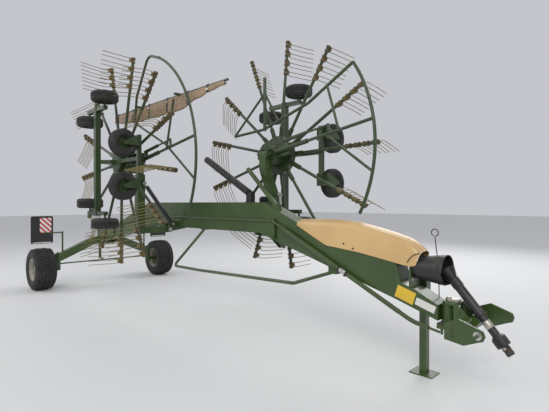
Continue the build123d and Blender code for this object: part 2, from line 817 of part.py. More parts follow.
def guard_mount():
    """Sleeve and cylinder barrel on the gearbox that carry the sliding swath guard."""
    start = gearbox_radius - 10
    end = start + guard_sleeve_length
    mount = bar(guard_point(start, 0), guard_point(end, 0), guard_sleeve_radius)
    seat = Plane(origin=guard_out() * 240 + Vector(0, 0, hub_top + 25), x_dir=guard_out(), z_dir=(0, 0, 1))
    rise = guard_w - guard_sleeve_radius - hub_top - 25 + 4
    mount += seat * Box(240, 150, rise, align=(Align.CENTER, Align.CENTER, Align.MIN))
    mount += bar(guard_point(guard_barrel_start, guard_cylinder_offset),
                 guard_point(guard_barrel_end, guard_cylinder_offset), guard_barrel_radius)
    web = Plane(origin=guard_point(guard_barrel_start + 40, guard_cylinder_offset / 2), x_dir=guard_out(),
                z_dir=(0, 0, 1))
    mount += web * Box(60, guard_cylinder_offset - 34, 14)
    mount -= bar(guard_point(start + 30, 0), guard_point(end + 1, 0), guard_tube + face_gap)
    return mount - bar(guard_point(guard_barrel_start + 20, guard_cylinder_offset),
                       guard_point(guard_barrel_end + 1, guard_cylinder_offset), guard_rod_radius + pin_gap)


def guard_lattice(name):
    """Bracing tubes of the sliding guard, in its plane."""
    thin = guard_tube - 3
    apex = guard_rim(front_guard_to_deg if name == "front" else rear_guard_to_deg)
    if name == "front":
        # Back from the bow's upper end to the guard's rear corner
        corners = [(-690, 320), (-80, 350), (720, 580)]
        lattice = bent_tube([(x, y, guard_w) for x, y in corners] + [apex], guard_tube, 150)
        posts = [((-60, 330), (-60, 1060), guard_post_radius), ((-690, 330), (-60, 850), thin),
                 ((-60, 850), (200, 430), thin), ((1020, 730), (1180, 210), thin)]
    else:
        # Down from the bow's upper end, and the two posts that carry the curtain's tube
        corners = [(-40, 640), (30, 1050), (404, 1620)]
        lattice = bent_tube([(x, y, guard_w) for x, y in corners] + [apex], guard_tube, 155)
        lattice += Pos(*apex) * Sphere(guard_tube + guard_collar)
        posts = [((-40, 650), (1000, 170), thin), ((1120, 830), (930, 150), thin)]
    for (from_x, from_y), (to_x, to_y), radius in posts:
        lattice += bar((from_x, from_y, guard_w), (to_x, to_y, guard_w), radius)
    return lattice


def curtain_tube():
    """Tube above the rolled curtain, and the clamps that hold it to the guard's posts."""
    tube = bar((curtain_from_x, curtain_y, curtain_w), (curtain_tube_to_x, curtain_y, curtain_w),
               curtain_tube_radius)
    for x in (5, 1139):
        tube += box((x - 20, x + 20), (curtain_y - 14, curtain_y + 14), (guard_w, curtain_w))
    return tube


def guard_bow(name):
    """Flattened bow of tube around the rotor's outer front, with its sliding arm and piston rod."""
    to_deg = front_guard_to_deg if name == "front" else rear_guard_to_deg
    middle = (guard_from_deg + to_deg) / 2
    arc = ThreePointArc(guard_rim(guard_from_deg), guard_rim(middle), guard_rim(to_deg))
    bow = sweep(Plane(origin=arc @ 0, z_dir=arc % 0) * Circle(guard_tube), path=arc)
    bow += bar(guard_point(gearbox_radius + 40, 0), guard_point(guard_circle, 0), guard_tube)
    link = guard_barrel_end + 370
    bow += bar(guard_point(guard_barrel_start + 60, guard_cylinder_offset),
               guard_point(link, guard_cylinder_offset), guard_rod_radius)
    bow += bar(guard_point(link - 10, guard_cylinder_offset + 14), guard_point(link - 10, 0), guard_rod_radius + 5)
    bow += bar(guard_rim(-11), guard_point(1010, -10), guard_tube - 3)
    bow += guard_lattice(name)
    return bow + curtain_tube() if name == "rear" else bow


def swath_curtain():
    """Gathered curtain, strapped flat below its tube and shallower towards its ends."""
    top = curtain_y - curtain_tube_radius - face_gap
    hang = [(x, top - drop) for x, drop in curtain_hem]
    seat = Plane(origin=(0, 0, curtain_w - curtain_thick / 2))
    face = seat * Polygon(*hang, (curtain_hem[-1][0], top), (curtain_hem[0][0], top), align=None)
    return extrude(face, amount=curtain_thick, dir=seat.z_dir)


# Booms, from the beam's hinge to the rotor's tilt bearing

def rod_boss(x, half, rod_pin):
    """Boss on a boom's front face that carries the fold cylinder's rod."""
    return bar((x + half - 1, *rod_pin), (x + rod_boss_reach, *rod_pin), eye_radius)


def front_boom():
    """Box boom that leans over the beam when folded, from its hinge to the rotor's tilt pin."""
    half = lug_gap / 2
    hinge = (front_hinge_y, front_hinge_z)
    head = (front_rotor_y - tilt_w, front_rotor_z)
    inner, outer = front_hinge_y - front_boom_half, front_hinge_y + front_boom_half
    outline = [
        (inner, front_hinge_z), (inner, front_boom_bend_z), (head[0] - head_radius, front_boom_neck_z),
        (head[0] - head_radius, front_rotor_z), (head[0] + head_radius, front_rotor_z),
        (head[0] + head_radius, front_boom_neck_z + front_boom_lean), (outer, front_boom_bend_z + front_boom_lean),
        (outer, front_hinge_z),
    ]
    boom = cross_plate(outline, front_rotor_x - half, front_rotor_x + half)
    boom += across(front_rotor_x, half, hinge, front_boom_half)
    boom += across(front_rotor_x, half, head, head_radius)
    boom += rod_boss(front_rotor_x, half, front_rod_pin)
    boom -= across(front_rotor_x, half, hinge, fold_pin_radius + pin_gap)
    return boom - across(front_rotor_x, half, head, tilt_pin_radius + pin_gap)


def rear_boom_sleeve():
    """Square sleeve below the rear rotor's tilt bearing, with the tongue that turns on the fold hinge."""
    half = sleeve_side / 2
    bore = slide_side / 2 + sleeve_gap
    x = rear_rotor_x
    y = rear_rotor_y + tilt_w
    sleeve = box((x - half, x + half), (y - half, y + half), (rear_sleeve_bottom, rear_sleeve_top))
    sleeve += box((x - lug_gap / 2, x + lug_gap / 2), (y + half - 1, rear_hinge_y + tongue_half),
                  (rear_hinge_z - tongue_half, rear_hinge_z + tongue_half))
    sleeve += rod_boss(x, half, rear_rod_pin)
    sleeve -= across(x, half, (rear_hinge_y, rear_hinge_z), fold_pin_radius + pin_gap)
    return sleeve - box((x - bore, x + bore), (y - bore, y + bore),
                        (rear_sleeve_bottom + sleeve_floor, rear_sleeve_top + 1))


def rear_boom_slide():
    """Inner square tube with the eye that holds the rear rotor's tilt pin."""
    half = slide_side / 2
    x, y, z = rear_rotor_x, rear_rotor_y + tilt_w, rear_rotor_z
    shoulder = z - head_radius - 26
    low = rear_sleeve_top - rear_travel - slide_engaged
    slide = box((x - half, x + half), (y - half, y + half), (low, shoulder + 1))
    slide += box((x - lug_gap / 2, x + lug_gap / 2), (y - head_radius, y + head_radius), (shoulder, z))
    slide += across(x, lug_gap / 2, (y, z), head_radius)
    return slide - across(x, lug_gap / 2, (y, z), tilt_pin_radius + pin_gap)


def turned(point, hinge, angle_deg):
    """A Y, Z point turned about a hinge along X."""
    angle = math.radians(angle_deg)
    y, z = point[0] - hinge[0], point[1] - hinge[1]
    return (hinge[0] + y * math.cos(angle) - z * math.sin(angle), hinge[1] + y * math.sin(angle) + z * math.cos(angle))


def fold_cylinder(boom_x, barrel_pin, rod_pin, hinge, fold_deg):
    """Barrel and piston rod of a fold cylinder, at its length when the boom is folded."""
    x = boom_x + cylinder_offset
    anchor = Vector(x, *barrel_pin)
    eye = Vector(x, *rod_pin)
    span = (eye - anchor).length
    out = (eye - anchor).normalized()
    closed = min(span, (Vector(x, *turned(rod_pin, hinge, fold_deg)) - anchor).length)
    mouth = anchor + out * (closed - barrel_end)
    barrel = bar(anchor + out * (cylinder_pin_radius + 4), mouth, barrel_radius)
    barrel += across(x, barrel_eye_width / 2, barrel_pin, eye_radius)
    barrel -= bar(anchor + out * (piston_end - 3), mouth + out, piston_rod_radius + pin_gap)
    barrel -= across(x, barrel_eye_width / 2, barrel_pin, cylinder_pin_radius + pin_gap)
    rod = bar(anchor + out * (span - closed + piston_end), eye, piston_rod_radius)
    rod += across(x, rod_eye_width / 2, rod_pin, eye_radius)
    rod += bar((boom_x + rod_boss_reach + face_gap, *rod_pin), (x, *rod_pin), cylinder_pin_radius)
    return barrel, rod


# Places of the two rotors, as drawn folded: the rotor's own Z points back to the beam

front_place = Plane(origin=(front_rotor_x, front_rotor_y, front_rotor_z), x_dir=(1, 0, 0), z_dir=(0, -1, 0))
rear_place = Plane(origin=(rear_rotor_x, rear_rotor_y, rear_rotor_z), x_dir=(1, 0, 0), z_dir=(0, 1, 0))

# Columns: name, place, side that is outward in the rotor's own Y, sense of the tines' kink, first arm's angle
rotors = [
    ("front", front_place, 1, 1, 1.2),
    ("rear", rear_place, -1, -1, 7.7),
]

# Wheels on the rockers. Columns: name, end of the rocker along X, side along Y
tandem_wheels = [
    ("outer_front", 1, 1), ("outer_back", -1, 1), ("inner_front", 1, -1), ("inner_back", -1, -1),
]


def tandem_centre(end, side):
    """Centre of a tandem wheel in the rotor's own frame; front wheels run outside the rockers."""
    y = side * (tandem_y + end * tandem_side)
    return Vector(tandem_x + end * tandem_base / 2, y, ground_w + chassis_wheel_radius)


def rotor_nodes(name, place, outward, sense, first_deg):
    """Every piece of one rotor with its chassis, moved to its folded place."""
    nodes = {}

    def to_side(shape):
        return shape if outward > 0 else mirror(shape, about=Plane.XZ)

    nodes[f"{name}_spider"] = spider(first_deg)
    nodes[f"{name}_tines"] = tines(sense, first_deg)
    nodes[f"{name}_gearbox"] = gearbox() + to_side(guard_mount())
    nodes[f"{name}_chassis"] = chassis()
    nodes[f"{name}_guard_bow"] = to_side(guard_bow(name))
    if name == "rear":
        nodes["swath_curtain"] = to_side(swath_curtain())
    for label, end, side in tandem_wheels:
        centre = tandem_centre(end, side * outward)
        nodes[f"{name}_wheel_{label}"] = Pos(*centre) * small_wheel()
    for label, side in (("outer", 1), ("inner", -1)):
        # Folded, the fork hangs straight down, which is inward in the rotor's own frame
        at = Pos(caster_x, side * outward * caster_y, 0) * Rot(0, 0, 90 * outward)
        nodes[f"{name}_caster_{label}"] = at * caster_fork()
        trail = Pos(-caster_trail, 0, ground_w + chassis_wheel_radius)
        nodes[f"{name}_caster_wheel_{label}"] = at * trail * small_wheel()
    return {key: place.location * shape for key, shape in nodes.items()}


def all_nodes():
    """Every node of the machine, in axle coordinates."""
    nodes = {
        "main_beam": main_beam(),
        "axle_beam": axle_beam(),
        "hood": hood(),
        "drive_bearing": drive_bearing(),
        "side_guard": side_guard(),
        "parked_tube": parked_tube(),
        "beam_strut": beam_strut(),
        "warning_boards": warning_boards(),
        "headstock": headstock(),
        "stand_leg": stand_leg(),
        "propeller_shaft": propeller_shaft(),
        "relay_lever": relay_lever(),
        "front_steer_rod": front_steer_rod(),
        "rear_steer_rod": rear_steer_rod(),
        "steer_crank": steer_crank(),
        "track_rod": track_rod(),
    }
    for label, side in (("left", 1), ("right", -1)):
        nodes[f"{label}_knuckle"] = knuckle(side)
        nodes[f"{label}_tyre"] = road_tyre(side)
        nodes[f"{label}_rim"] = road_rim(side)
    for row in rotors:
        nodes.update(rotor_nodes(*row))
    front_y, front_z = front_barrel_pin
    rear_y, rear_z = rear_barrel_pin
    # Columns: name, X, side of the beam, hinge, barrel's and rod's pins, fold angle, cheeks' outline
    folds = [
        ("front", front_rotor_x, 1, (front_hinge_y, front_hinge_z), front_barrel_pin, front_rod_pin, front_fold_deg,
         [(-10, beam_bottom - 5), (beam_half - 1, beam_bottom - 5), (front_y + 30, front_z + 20),
          (front_y + 30, front_z - 15), (front_y + 14, front_z - 32), (front_y - 14, front_z - 32),
          (-10, beam_bottom - 45)]),
        ("rear", rear_rotor_x, -1, (rear_hinge_y, rear_hinge_z), rear_barrel_pin, rear_rod_pin, rear_fold_deg,
         [(1 - beam_half, rear_z + 40), (1 - beam_half, rear_z - 50), (rear_y - 14, rear_z - 32),
          (rear_y - 32, rear_z - 14), (rear_y - 32, rear_z + 14), (rear_y - 14, rear_z + 32)]),
    ]
    for name, x, out, hinge, barrel_pin, rod_pin, fold_deg, cheek in folds:
        nodes[f"{name}_hinge_bracket"] = hinge_bracket(x, out, hinge, barrel_pin, cheek)
        barrel, rod = fold_cylinder(x, barrel_pin, rod_pin, hinge, fold_deg)
        nodes[f"{name}_fold_barrel"] = barrel
        nodes[f"{name}_fold_rod"] = rod
    nodes["front_boom"] = front_boom()
    nodes["rear_boom_sleeve"] = rear_boom_sleeve()
    nodes["rear_boom_slide"] = rear_boom_slide()
    return nodes


def main():
    os.makedirs("parts", exist_ok=True)
    for name, shape in all_nodes().items():
        export_step(Pos(-middle_x, 0, 0) * shape, f"parts/{name}.step")


if __name__ == "__main__":
    main()
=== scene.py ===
"""Looks of a parked two-rotor rotary rake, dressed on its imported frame."""

from __future__ import annotations

import json
import logging
import math
from dataclasses import dataclass
from enum import Enum
from itertools import product
from typing import Iterable, Sequence

import bpy
from mathutils import Matrix, Vector

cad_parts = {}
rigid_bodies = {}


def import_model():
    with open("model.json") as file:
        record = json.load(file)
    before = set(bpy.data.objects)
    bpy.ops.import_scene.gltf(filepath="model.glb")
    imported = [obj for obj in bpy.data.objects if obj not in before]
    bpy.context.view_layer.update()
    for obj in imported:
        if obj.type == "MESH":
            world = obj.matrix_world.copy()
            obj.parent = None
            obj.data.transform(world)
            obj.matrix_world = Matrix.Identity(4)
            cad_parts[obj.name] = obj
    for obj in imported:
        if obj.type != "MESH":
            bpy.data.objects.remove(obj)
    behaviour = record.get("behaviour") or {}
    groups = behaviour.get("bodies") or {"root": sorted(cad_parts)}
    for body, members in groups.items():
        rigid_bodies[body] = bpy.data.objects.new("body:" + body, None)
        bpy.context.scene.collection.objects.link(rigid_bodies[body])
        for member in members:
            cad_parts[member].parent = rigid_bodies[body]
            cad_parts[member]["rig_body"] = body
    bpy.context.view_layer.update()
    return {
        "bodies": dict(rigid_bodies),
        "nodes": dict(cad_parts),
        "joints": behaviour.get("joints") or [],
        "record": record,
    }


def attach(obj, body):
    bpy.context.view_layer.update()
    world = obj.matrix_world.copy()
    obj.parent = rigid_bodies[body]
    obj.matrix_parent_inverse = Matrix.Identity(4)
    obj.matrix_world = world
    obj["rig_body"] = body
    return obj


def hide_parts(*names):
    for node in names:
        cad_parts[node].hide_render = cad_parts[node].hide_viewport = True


LOG = logging.getLogger("rake")
UP = Vector((0, 0, 1))
FORWARD = Vector((1, 0, 0))
LEFT = Vector((0, 1, 0))
ORIGIN = Vector((0, 0, 0))
TURN = 2 * math.pi
SIDES = (-1, 1)

Point = Sequence[float]
Profile = Sequence[tuple[float, float]]
Colour = tuple[float, float, float]

DUST: Colour = (0.28, 0.23, 0.16)
SOIL: Colour = (0.09, 0.065, 0.04)


def circle(count: int, shift: float = 0.0) -> list[float]:
    """Angles spread evenly over a turn, from a shift counted in steps."""
    return [TURN * (k + shift) / count for k in range(count)]


def mirrored(half: Profile) -> list[tuple[float, float]]:
    """A profile and, in reverse, its mirror image about zero of the second value."""
    return [*half, *((first, -second) for first, second in reversed(half))]


def axes(first: Vector, second: Vector, third: Vector) -> Matrix:
    """Rotation that takes X, Y and Z to three directions."""
    return Matrix((first, second, third)).transposed()


class Slot(Enum):
    """The record's material slots."""

    GREEN = "green_paint"
    BEIGE = "beige_panel"
    TYRE = "black_rubber"
    RIM = "rim_paint"
    BLACK = "black_plastic"
    STEEL = "bare_steel"
    SPRING = "spring_steel"
    CLOTH = "curtain_cloth"
    BOARD = "board_face"


class Side(Enum):
    """Sides of the machine, as the sign of Y."""

    LEFT = 1
    RIGHT = -1


class MeshMaker:
    """Collects the points and faces of one piece, with a material number for each face."""

    def __init__(self) -> None:
        """Start with an empty piece."""
        self.points: list[Vector] = []
        self.faces: list[tuple[int, ...]] = []
        self.marks: list[int] = []

    def add(self, points: Iterable[Point], faces: Iterable[Sequence[int]], mark: int = 0) -> None:
        """Add a patch.

        Args:
            points: its corners.
            faces: corner numbers of each face, counted within the patch.
            mark: number of the material.
        """
        start = len(self.points)
        self.points.extend(Vector(p) for p in points)
        for face in faces:
            self.faces.append(tuple(start + i for i in face))
            self.marks.append(mark)

    def loft(self, rings: Sequence[Sequence[Point]], mark: int = 0, closed: bool = False,
             wall: bool = False) -> None:
        """Join rings of equal length by quads, and close the first and the last unless told otherwise.

        Args:
            rings: closed outlines, one after the other.
            mark: number of the material.
            closed: join the last ring back to the first.
            wall: each ring is a thin wall's outline, there and back, so its ends are closed by strips.
        """
        count = len(rings[0])
        last = (len(rings) - 1) * count
        faces: list[tuple[int, ...]] = []
        for r in range(len(rings) if closed else len(rings) - 1):
            near, far = r * count, (r + 1) % len(rings) * count
            for i in range(count):
                j = (i + 1) % count
                faces.append((near + i, near + j, far + j, far + i))
        if wall:
            for base, order in ((0, -1), (last, 1)):
                for i in range(count // 2 - 1):
                    strip = (base + i, base + i + 1, base + count - 2 - i, base + count - 1 - i)
                    faces.append(strip[::order])
        elif not closed:
            faces.append(tuple(reversed(range(count))))
            faces.append(tuple(last + i for i in range(count)))
        self.add([p for ring in rings for p in ring], faces, mark)

    def tube(self, path: Sequence[Point], radius: float, sides: int = 8, mark: int = 0) -> None:
        """A round tube along a line.

        Args:
            path: points of its axis.
            radius: radius of the tube.
            sides: corners of its section.
            mark: number of the material.
        """
        line = [Vector(p) for p in path]
        after = line[1:] + line[-1:]
        before = line[:1] + line[:-1]
        ways = [(far - near).normalized() for near, far in zip(before, after)]
        across = ways[0].orthogonal().normalized()
        rings = []
        for point, way in zip(line, ways):
            across = (across - way * across.dot(way)).normalized()
            other = way.cross(across)
            rings.append([point + across * (radius * math.cos(a)) + other * (radius * math.sin(a))
                          for a in circle(sides)])
        self.loft(rings, mark)

    def lathe(self, profile: Profile, centre: Point, axis: Point, steps: int = 48, mark: int = 0,
              closed: bool = True) -> None:
        """A body turned about an axis.

        Args:
            profile: radius and place along the axis, point by point.
            centre: point on the axis.
            axis: its direction.
            steps: facets round the axis.
            mark: number of the material.
            closed: join the profile's last point to its first, rather than cap both ends.
        """
        way = Vector(axis).normalized()
        across = way.orthogonal().normalized()
        other = way.cross(across)
        points = []
        for a in circle(steps):
            out = across * math.cos(a) + other * math.sin(a)
            points += [Vector(centre) + out * r + way * z for r, z in profile]
        count = len(profile)
        faces = []
        for k in range(steps):
            near, far = k * count, (k + 1) % steps * count
            for i in range(count if closed else count - 1):
                j = (i + 1) % count
                faces.append((near + i, far + i, far + j, near + j))
        if not closed:
            faces.append(tuple(k * count for k in range(steps)))
            faces.append(tuple(k * count + count - 1 for k in reversed(range(steps))))
        self.add(points, faces, mark)

    @staticmethod
    def signs(k: int, along: int, first: int, second: int) -> tuple[int, int, int]:
        """Signs of X, Y and Z, from those along axis k and along the two axes after it."""
        found = {k: along, (k + 1) % 3: first, (k + 2) % 3: second}
        return found[0], found[1], found[2]

    def block(self, centre: Point, half: Point, bevel: float = 0.002, mark: int = 0,
              turn: Matrix | None = None) -> None:
        """A block with chamfered edges.

        Args:
            centre: its middle.
            half: half its size along each of its own axes.
            bevel: width of the chamfer.
            mark: number of the material.
            turn: rotation of its own axes, or none.
        """
        turn = turn if turn is not None else Matrix.Identity(3)
        octants = list(product(SIDES, repeat=3))
        corners: dict[tuple[int, ...], int] = {}
        points: list[Vector] = []
        for signs in octants:
            for k in range(3):
                local = Vector([sign * size for sign, size in zip(signs, half)])
                for other in range(3):
                    if other != k:
                        local[other] -= math.copysign(bevel, local[other])
                corners[(*signs, k)] = len(points)
                points.append(Vector(centre) + turn @ local)
        faces: list[tuple[int, ...]] = []
        quarters = ((-1, -1), (1, -1), (1, 1), (-1, 1))
        for k in range(3):
            u, v = (k + 1) % 3, (k + 2) % 3
            for s in SIDES:
                flat = tuple(corners[(*self.signs(k, s, a, b), k)] for a, b in quarters)
                faces.append(flat[::s])
            for a, b in quarters:
                near, far = (self.signs(k, s, a, b) for s in SIDES)
                edge = (corners[(*near, u)], corners[(*far, u)], corners[(*far, v)], corners[(*near, v)])
                faces.append(edge[::a * b])
        for signs in octants:
            tip = tuple(corners[(*signs, k)] for k in range(3))
            faces.append(tip[::math.prod(signs)])
        self.add(points, faces, mark)

    def bolt(self, at: Point, way: Point, radius: float, height: float, mark: int = 0) -> None:
        """A hexagon head with a washer.

        Args:
            at: where it sits.
            way: the direction its head looks.
            radius: corner radius of the hexagon.
            height: height of the head.
            mark: number of the material.
        """
        out = Vector(way).normalized()
        wide, thin = radius * 1.3, height * 0.2
        self.lathe([(wide, 0.0), (wide, thin)], at, out, 16, mark, closed=False)
        head = [(radius, thin), (radius, height * 0.85), (radius * 0.85, height)]
        self.lathe(head, at, out, 6, mark, closed=False)

    def piece(self, name: str, materials: Sequence[bpy.types.Material],
              smooth_deg: float = 35) -> bpy.types.Object:
        """Make the object.

        Args:
            name: the piece's name.
            materials: materials by number.
            smooth_deg: edges under this angle are shaded smooth.

        Returns:
            The new object, in the scene's collection.
        """
        mesh = bpy.data.meshes.new(name)
        mesh.from_pydata([tuple(p) for p in self.points], [], self.faces)
        for material in materials:
            mesh.materials.append(material)
        mesh.polygons.foreach_set("material_index", self.marks)
        mesh.shade_smooth()
        mesh.set_sharp_from_angle(angle=math.radians(smooth_deg))
        mesh.validate()
        obj = bpy.data.objects.new(name, mesh)
        bpy.context.scene.collection.objects.link(obj)
        return obj


class Wire:
    """A shader socket that takes part in Python expressions."""

    def __init__(self, board: Board, socket: bpy.types.NodeSocket) -> None:
        """Wrap a socket of a board."""
        self.board = board
        self.socket = socket

    def __add__(self, other: Wire | float) -> Wire:
        """Sum."""
        return self.board.maths("ADD", self, other)

    __radd__ = __add__

    def __sub__(self, other: Wire | float) -> Wire:
        """Difference."""
        return self.board.maths("SUBTRACT", self, other)

    def __rsub__(self, other: float) -> Wire:
        """Difference from a number."""
        return self.board.maths("SUBTRACT", other, self)

    def __mul__(self, other: Wire | float) -> Wire:
        """Product."""
        return self.board.maths("MULTIPLY", self, other)

    __rmul__ = __mul__

    def __truediv__(self, other: Wire | float) -> Wire:
        """Quotient."""
        return self.board.maths("DIVIDE", self, other)

    def __rtruediv__(self, other: float) -> Wire:
        """Quotient of a number by the value."""
        return self.board.maths("DIVIDE", other, self)

    def above(self, level: float) -> Wire:
        """1 where the value is over a level, 0 elsewhere."""
        return self.board.maths("GREATER_THAN", self, level)

    def clipped(self) -> Wire:
        """The value held between 0 and 1."""
        return self.board.maths("ADD", self, clamp=True)

    def ramp(self, low: float, high: float) -> Wire:
        """0 at the low value and 1 at the high one, smooth between."""
        levels = {0: self, 1: low, 2: high, 3: 0.0, 4: 1.0}
        return self.board.wire("ShaderNodeMapRange", levels, interpolation_type="SMOOTHSTEP")


class Board:
    """One material's node tree."""

    def __init__(self, name: str) -> None:
        """Make a new material with a plain shader.

        Args:
            name: the material's name.
        """
        self.material = bpy.data.materials.new(name)
        self.material.use_nodes = True
        self.tree = self.material.node_tree
        self.shader = self.tree.nodes["Principled BSDF"]

    def wire(self, kind: str, sockets: dict[int | str, object] | None = None, output: int | str = 0,
             **settings: object) -> Wire:
        """Add a node.

        Args:
            kind: the node's type.
            sockets: values or wires of its inputs, by name or number.
            output: name or number of the output that is used.
            settings: its properties.

        Returns:
            The output.
        """
        made = self.tree.nodes.new(kind)
        for key, value in settings.items():
            setattr(made, key, value)
        for key, value in (sockets or {}).items():
            self.feed(made.inputs[key], value)
        return Wire(self, made.outputs[output])

    def feed(self, socket: bpy.types.NodeSocket, value: object) -> None:
        """Link a wire to an input, or set the input's value.

        Args:
            socket: the input.
            value: a wire, a number or a colour.
        """
        if isinstance(value, Wire):
            self.tree.links.new(value.socket, socket)
        else:
            socket.default_value = value

    def maths(self, operation: str, a: Wire | float, b: Wire | float = 0.0, clamp: bool = False) -> Wire:
        """A Math node on one or two values."""
        return self.wire("ShaderNodeMath", {0: a, 1: b}, operation=operation, use_clamp=clamp)

    def place(self) -> Wire:
        """Position in the piece's own axes, in metres."""
        return self.wire("ShaderNodeTexCoord", output="Object")

    def axis(self, vector: Wire, name: str) -> Wire:
        """One component of a vector."""
        return self.wire("ShaderNodeSeparateXYZ", {0: vector}, name)

    def stretched(self, vector: Wire, factors: Point) -> Wire:
        """A vector scaled along each axis."""
        return self.wire("ShaderNodeVectorMath", {0: vector, 1: tuple(factors)}, operation="MULTIPLY")

    def facing(self) -> Wire:
        """How far a surface looks up, from -1 to 1, in the piece's own axes."""
        return self.axis(self.wire("ShaderNodeTexCoord", output="Normal"), "Z")

    def noise(self, vector: Wire, scale: float, detail: float = 4.0, rough: float = 0.55) -> Wire:
        """Cloudy value from 0 to 1."""
        sockets = {"Vector": vector, "Scale": scale, "Detail": detail, "Roughness": rough}
        return self.wire("ShaderNodeTexNoise", sockets)

    def mix(self, share: Wire | float, low: Wire | Point, high: Wire | Point) -> Wire:
        """Colour between two colours: the first where the share is 0, the second where it is 1."""
        low, high = (c if isinstance(c, Wire) else (*c, 1.0) for c in (low, high))
        return self.wire("ShaderNodeMix", {0: share, 6: low, 7: high}, 2, data_type="RGBA")

    def bump(self, height: Wire, depth: float) -> None:
        """Feed a height in metres into the shader's normal."""
        bumped = self.wire("ShaderNodeBump", {"Height": height, "Distance": depth})
        self.feed(self.shader.inputs["Normal"], bumped)

    def set(self, **sockets: object) -> None:
        """Set the shader's sockets by name, with underscores for spaces."""
        for key, value in sockets.items():
            self.feed(self.shader.inputs[key.replace("_", " ")], value)


@dataclass(frozen=True)
class Finish:
    """A material with a name; each kind lays its own nodes."""

    name: str

    def make(self) -> bpy.types.Material:
        """Build the material.

        Returns:
            The material.
        """
        board = Board(self.name)
        self.lay(board, board.place())
        return board.material

    def lay(self, board: Board, at: Wire) -> None:
        """Lay the nodes.

        Args:
            board: the material's node tree.
            at: position in the piece's own axes.
        """
        raise NotImplementedError


@dataclass(frozen=True)
class Paint(Finish):
    """Sprayed paint on steel or a panel, faded in patches, with dust on top and small scratches."""

    colour: Colour
    shade: Colour
    roughness: float = 0.34
    dust: float = 0.45
    coat: float = 0.25

    def lay(self, board: Board, at: Wire) -> None:
        """Lay the nodes.

        Args:
            board: the material's node tree.
            at: position in the piece's own axes.
        """
        clouds = board.noise(at, 1.6, 5.0)
        fine = board.noise(at, 46.0, 6.0, 0.7)
        streak = board.noise(board.stretched(at, (18.0, 18.0, 2.2)), 1.0, 5.0, 0.6)
        base = board.mix(clouds.ramp(0.3, 0.72), self.shade, self.colour)
        lying = board.facing().ramp(0.1, 0.95) * 0.8 + streak.ramp(0.45, 0.8) * 0.35
        dusty = (lying * fine.ramp(0.3, 0.75) * self.dust).clipped()
        chips = (fine.ramp(0.66, 0.69) * clouds.ramp(0.52, 0.6)).clipped()
        board.set(Base_Color=board.mix(chips * 0.55, board.mix(dusty, base, DUST), SOIL),
                  Roughness=(dusty * 0.5 + fine * 0.12 + self.roughness - 0.06).clipped(),
                  Coat_Weight=self.coat, Coat_Roughness=0.12)
        board.bump(fine * 0.6 + clouds * 0.4, 0.0006)


@dataclass(frozen=True)
class Rubber(Finish):
    """Tyre rubber, greyed by dust in patches."""

    colour: Colour = (0.017, 0.017, 0.018)
    worn: Colour = (0.034, 0.033, 0.032)
    grime: Colour = (0.12, 0.1, 0.08)
    dust: float = 0.35

    def lay(self, board: Board, at: Wire) -> None:
        """Lay the nodes.

        Args:
            board: the material's node tree.
            at: position in the piece's own axes.
        """
        patches = board.noise(at, 7.0, 6.0, 0.65)
        grain = board.noise(at, 160.0, 3.0, 0.6)
        base = board.mix(grain.ramp(0.35, 0.75), self.colour, self.worn)
        dusty = (patches.ramp(0.42, 0.78) * self.dust).clipped()
        board.set(Base_Color=board.mix(dusty, base, self.grime),
                  Roughness=(0.62 + dusty * 0.4 + grain * 0.12).clipped(), Specular_IOR_Level=0.35)
        board.bump(grain * 0.5 + patches * 0.5, 0.0012)


@dataclass(frozen=True)
class Moulding(Finish):
    """Moulded black plastic with a fine grain and pale scuffs."""

    colour: Colour = (0.02, 0.02, 0.021)
    scuffed: Colour = (0.09, 0.088, 0.085)
    roughness: float = 0.42

    def lay(self, board: Board, at: Wire) -> None:
        """Lay the nodes.

        Args:
            board: the material's node tree.
            at: position in the piece's own axes.
        """
        grain = board.noise(at, 420.0, 2.0)
        scuff = board.noise(board.stretched(at, (9.0, 9.0, 40.0)), 1.0, 7.0, 0.72)
        worn = (scuff.ramp(0.56, 0.8) * 0.35).clipped()
        dusty = (board.facing().ramp(0.2, 1.0) * board.noise(at, 12.0, 5.0).ramp(0.35, 0.7) * 0.22).clipped()
        board.set(Base_Color=board.mix(dusty, board.mix(worn, self.colour, self.scuffed), DUST),
                  Roughness=(worn * 0.5 + dusty * 0.4 + self.roughness).clipped())
        board.bump(grain + scuff * 0.4, 0.0004)


@dataclass(frozen=True)
class Metal(Finish):
    """Bare or thinly coated metal with brushed and rusty patches."""

    colour: Colour
    stain: Colour
    roughness: float = 0.32
    stained: float = 0.5
    metallic: float = 0.85

    def lay(self, board: Board, at: Wire) -> None:
        """Lay the nodes.

        Args:
            board: the material's node tree.
            at: position in the piece's own axes.
        """
        patches = board.noise(at, 9.0, 7.0, 0.7)
        fine = board.noise(at, 180.0, 4.0, 0.6)
        stain = (patches.ramp(0.47, 0.68) * fine.ramp(0.25, 0.7) * self.stained * 1.6).clipped()
        board.set(Base_Color=board.mix(stain, self.colour, self.stain),
                  Metallic=(self.metallic - stain * self.metallic).clipped(),
                  Roughness=(stain * 0.45 + fine * 0.1 + self.roughness).clipped())
        board.bump(fine + stain, 0.0003)


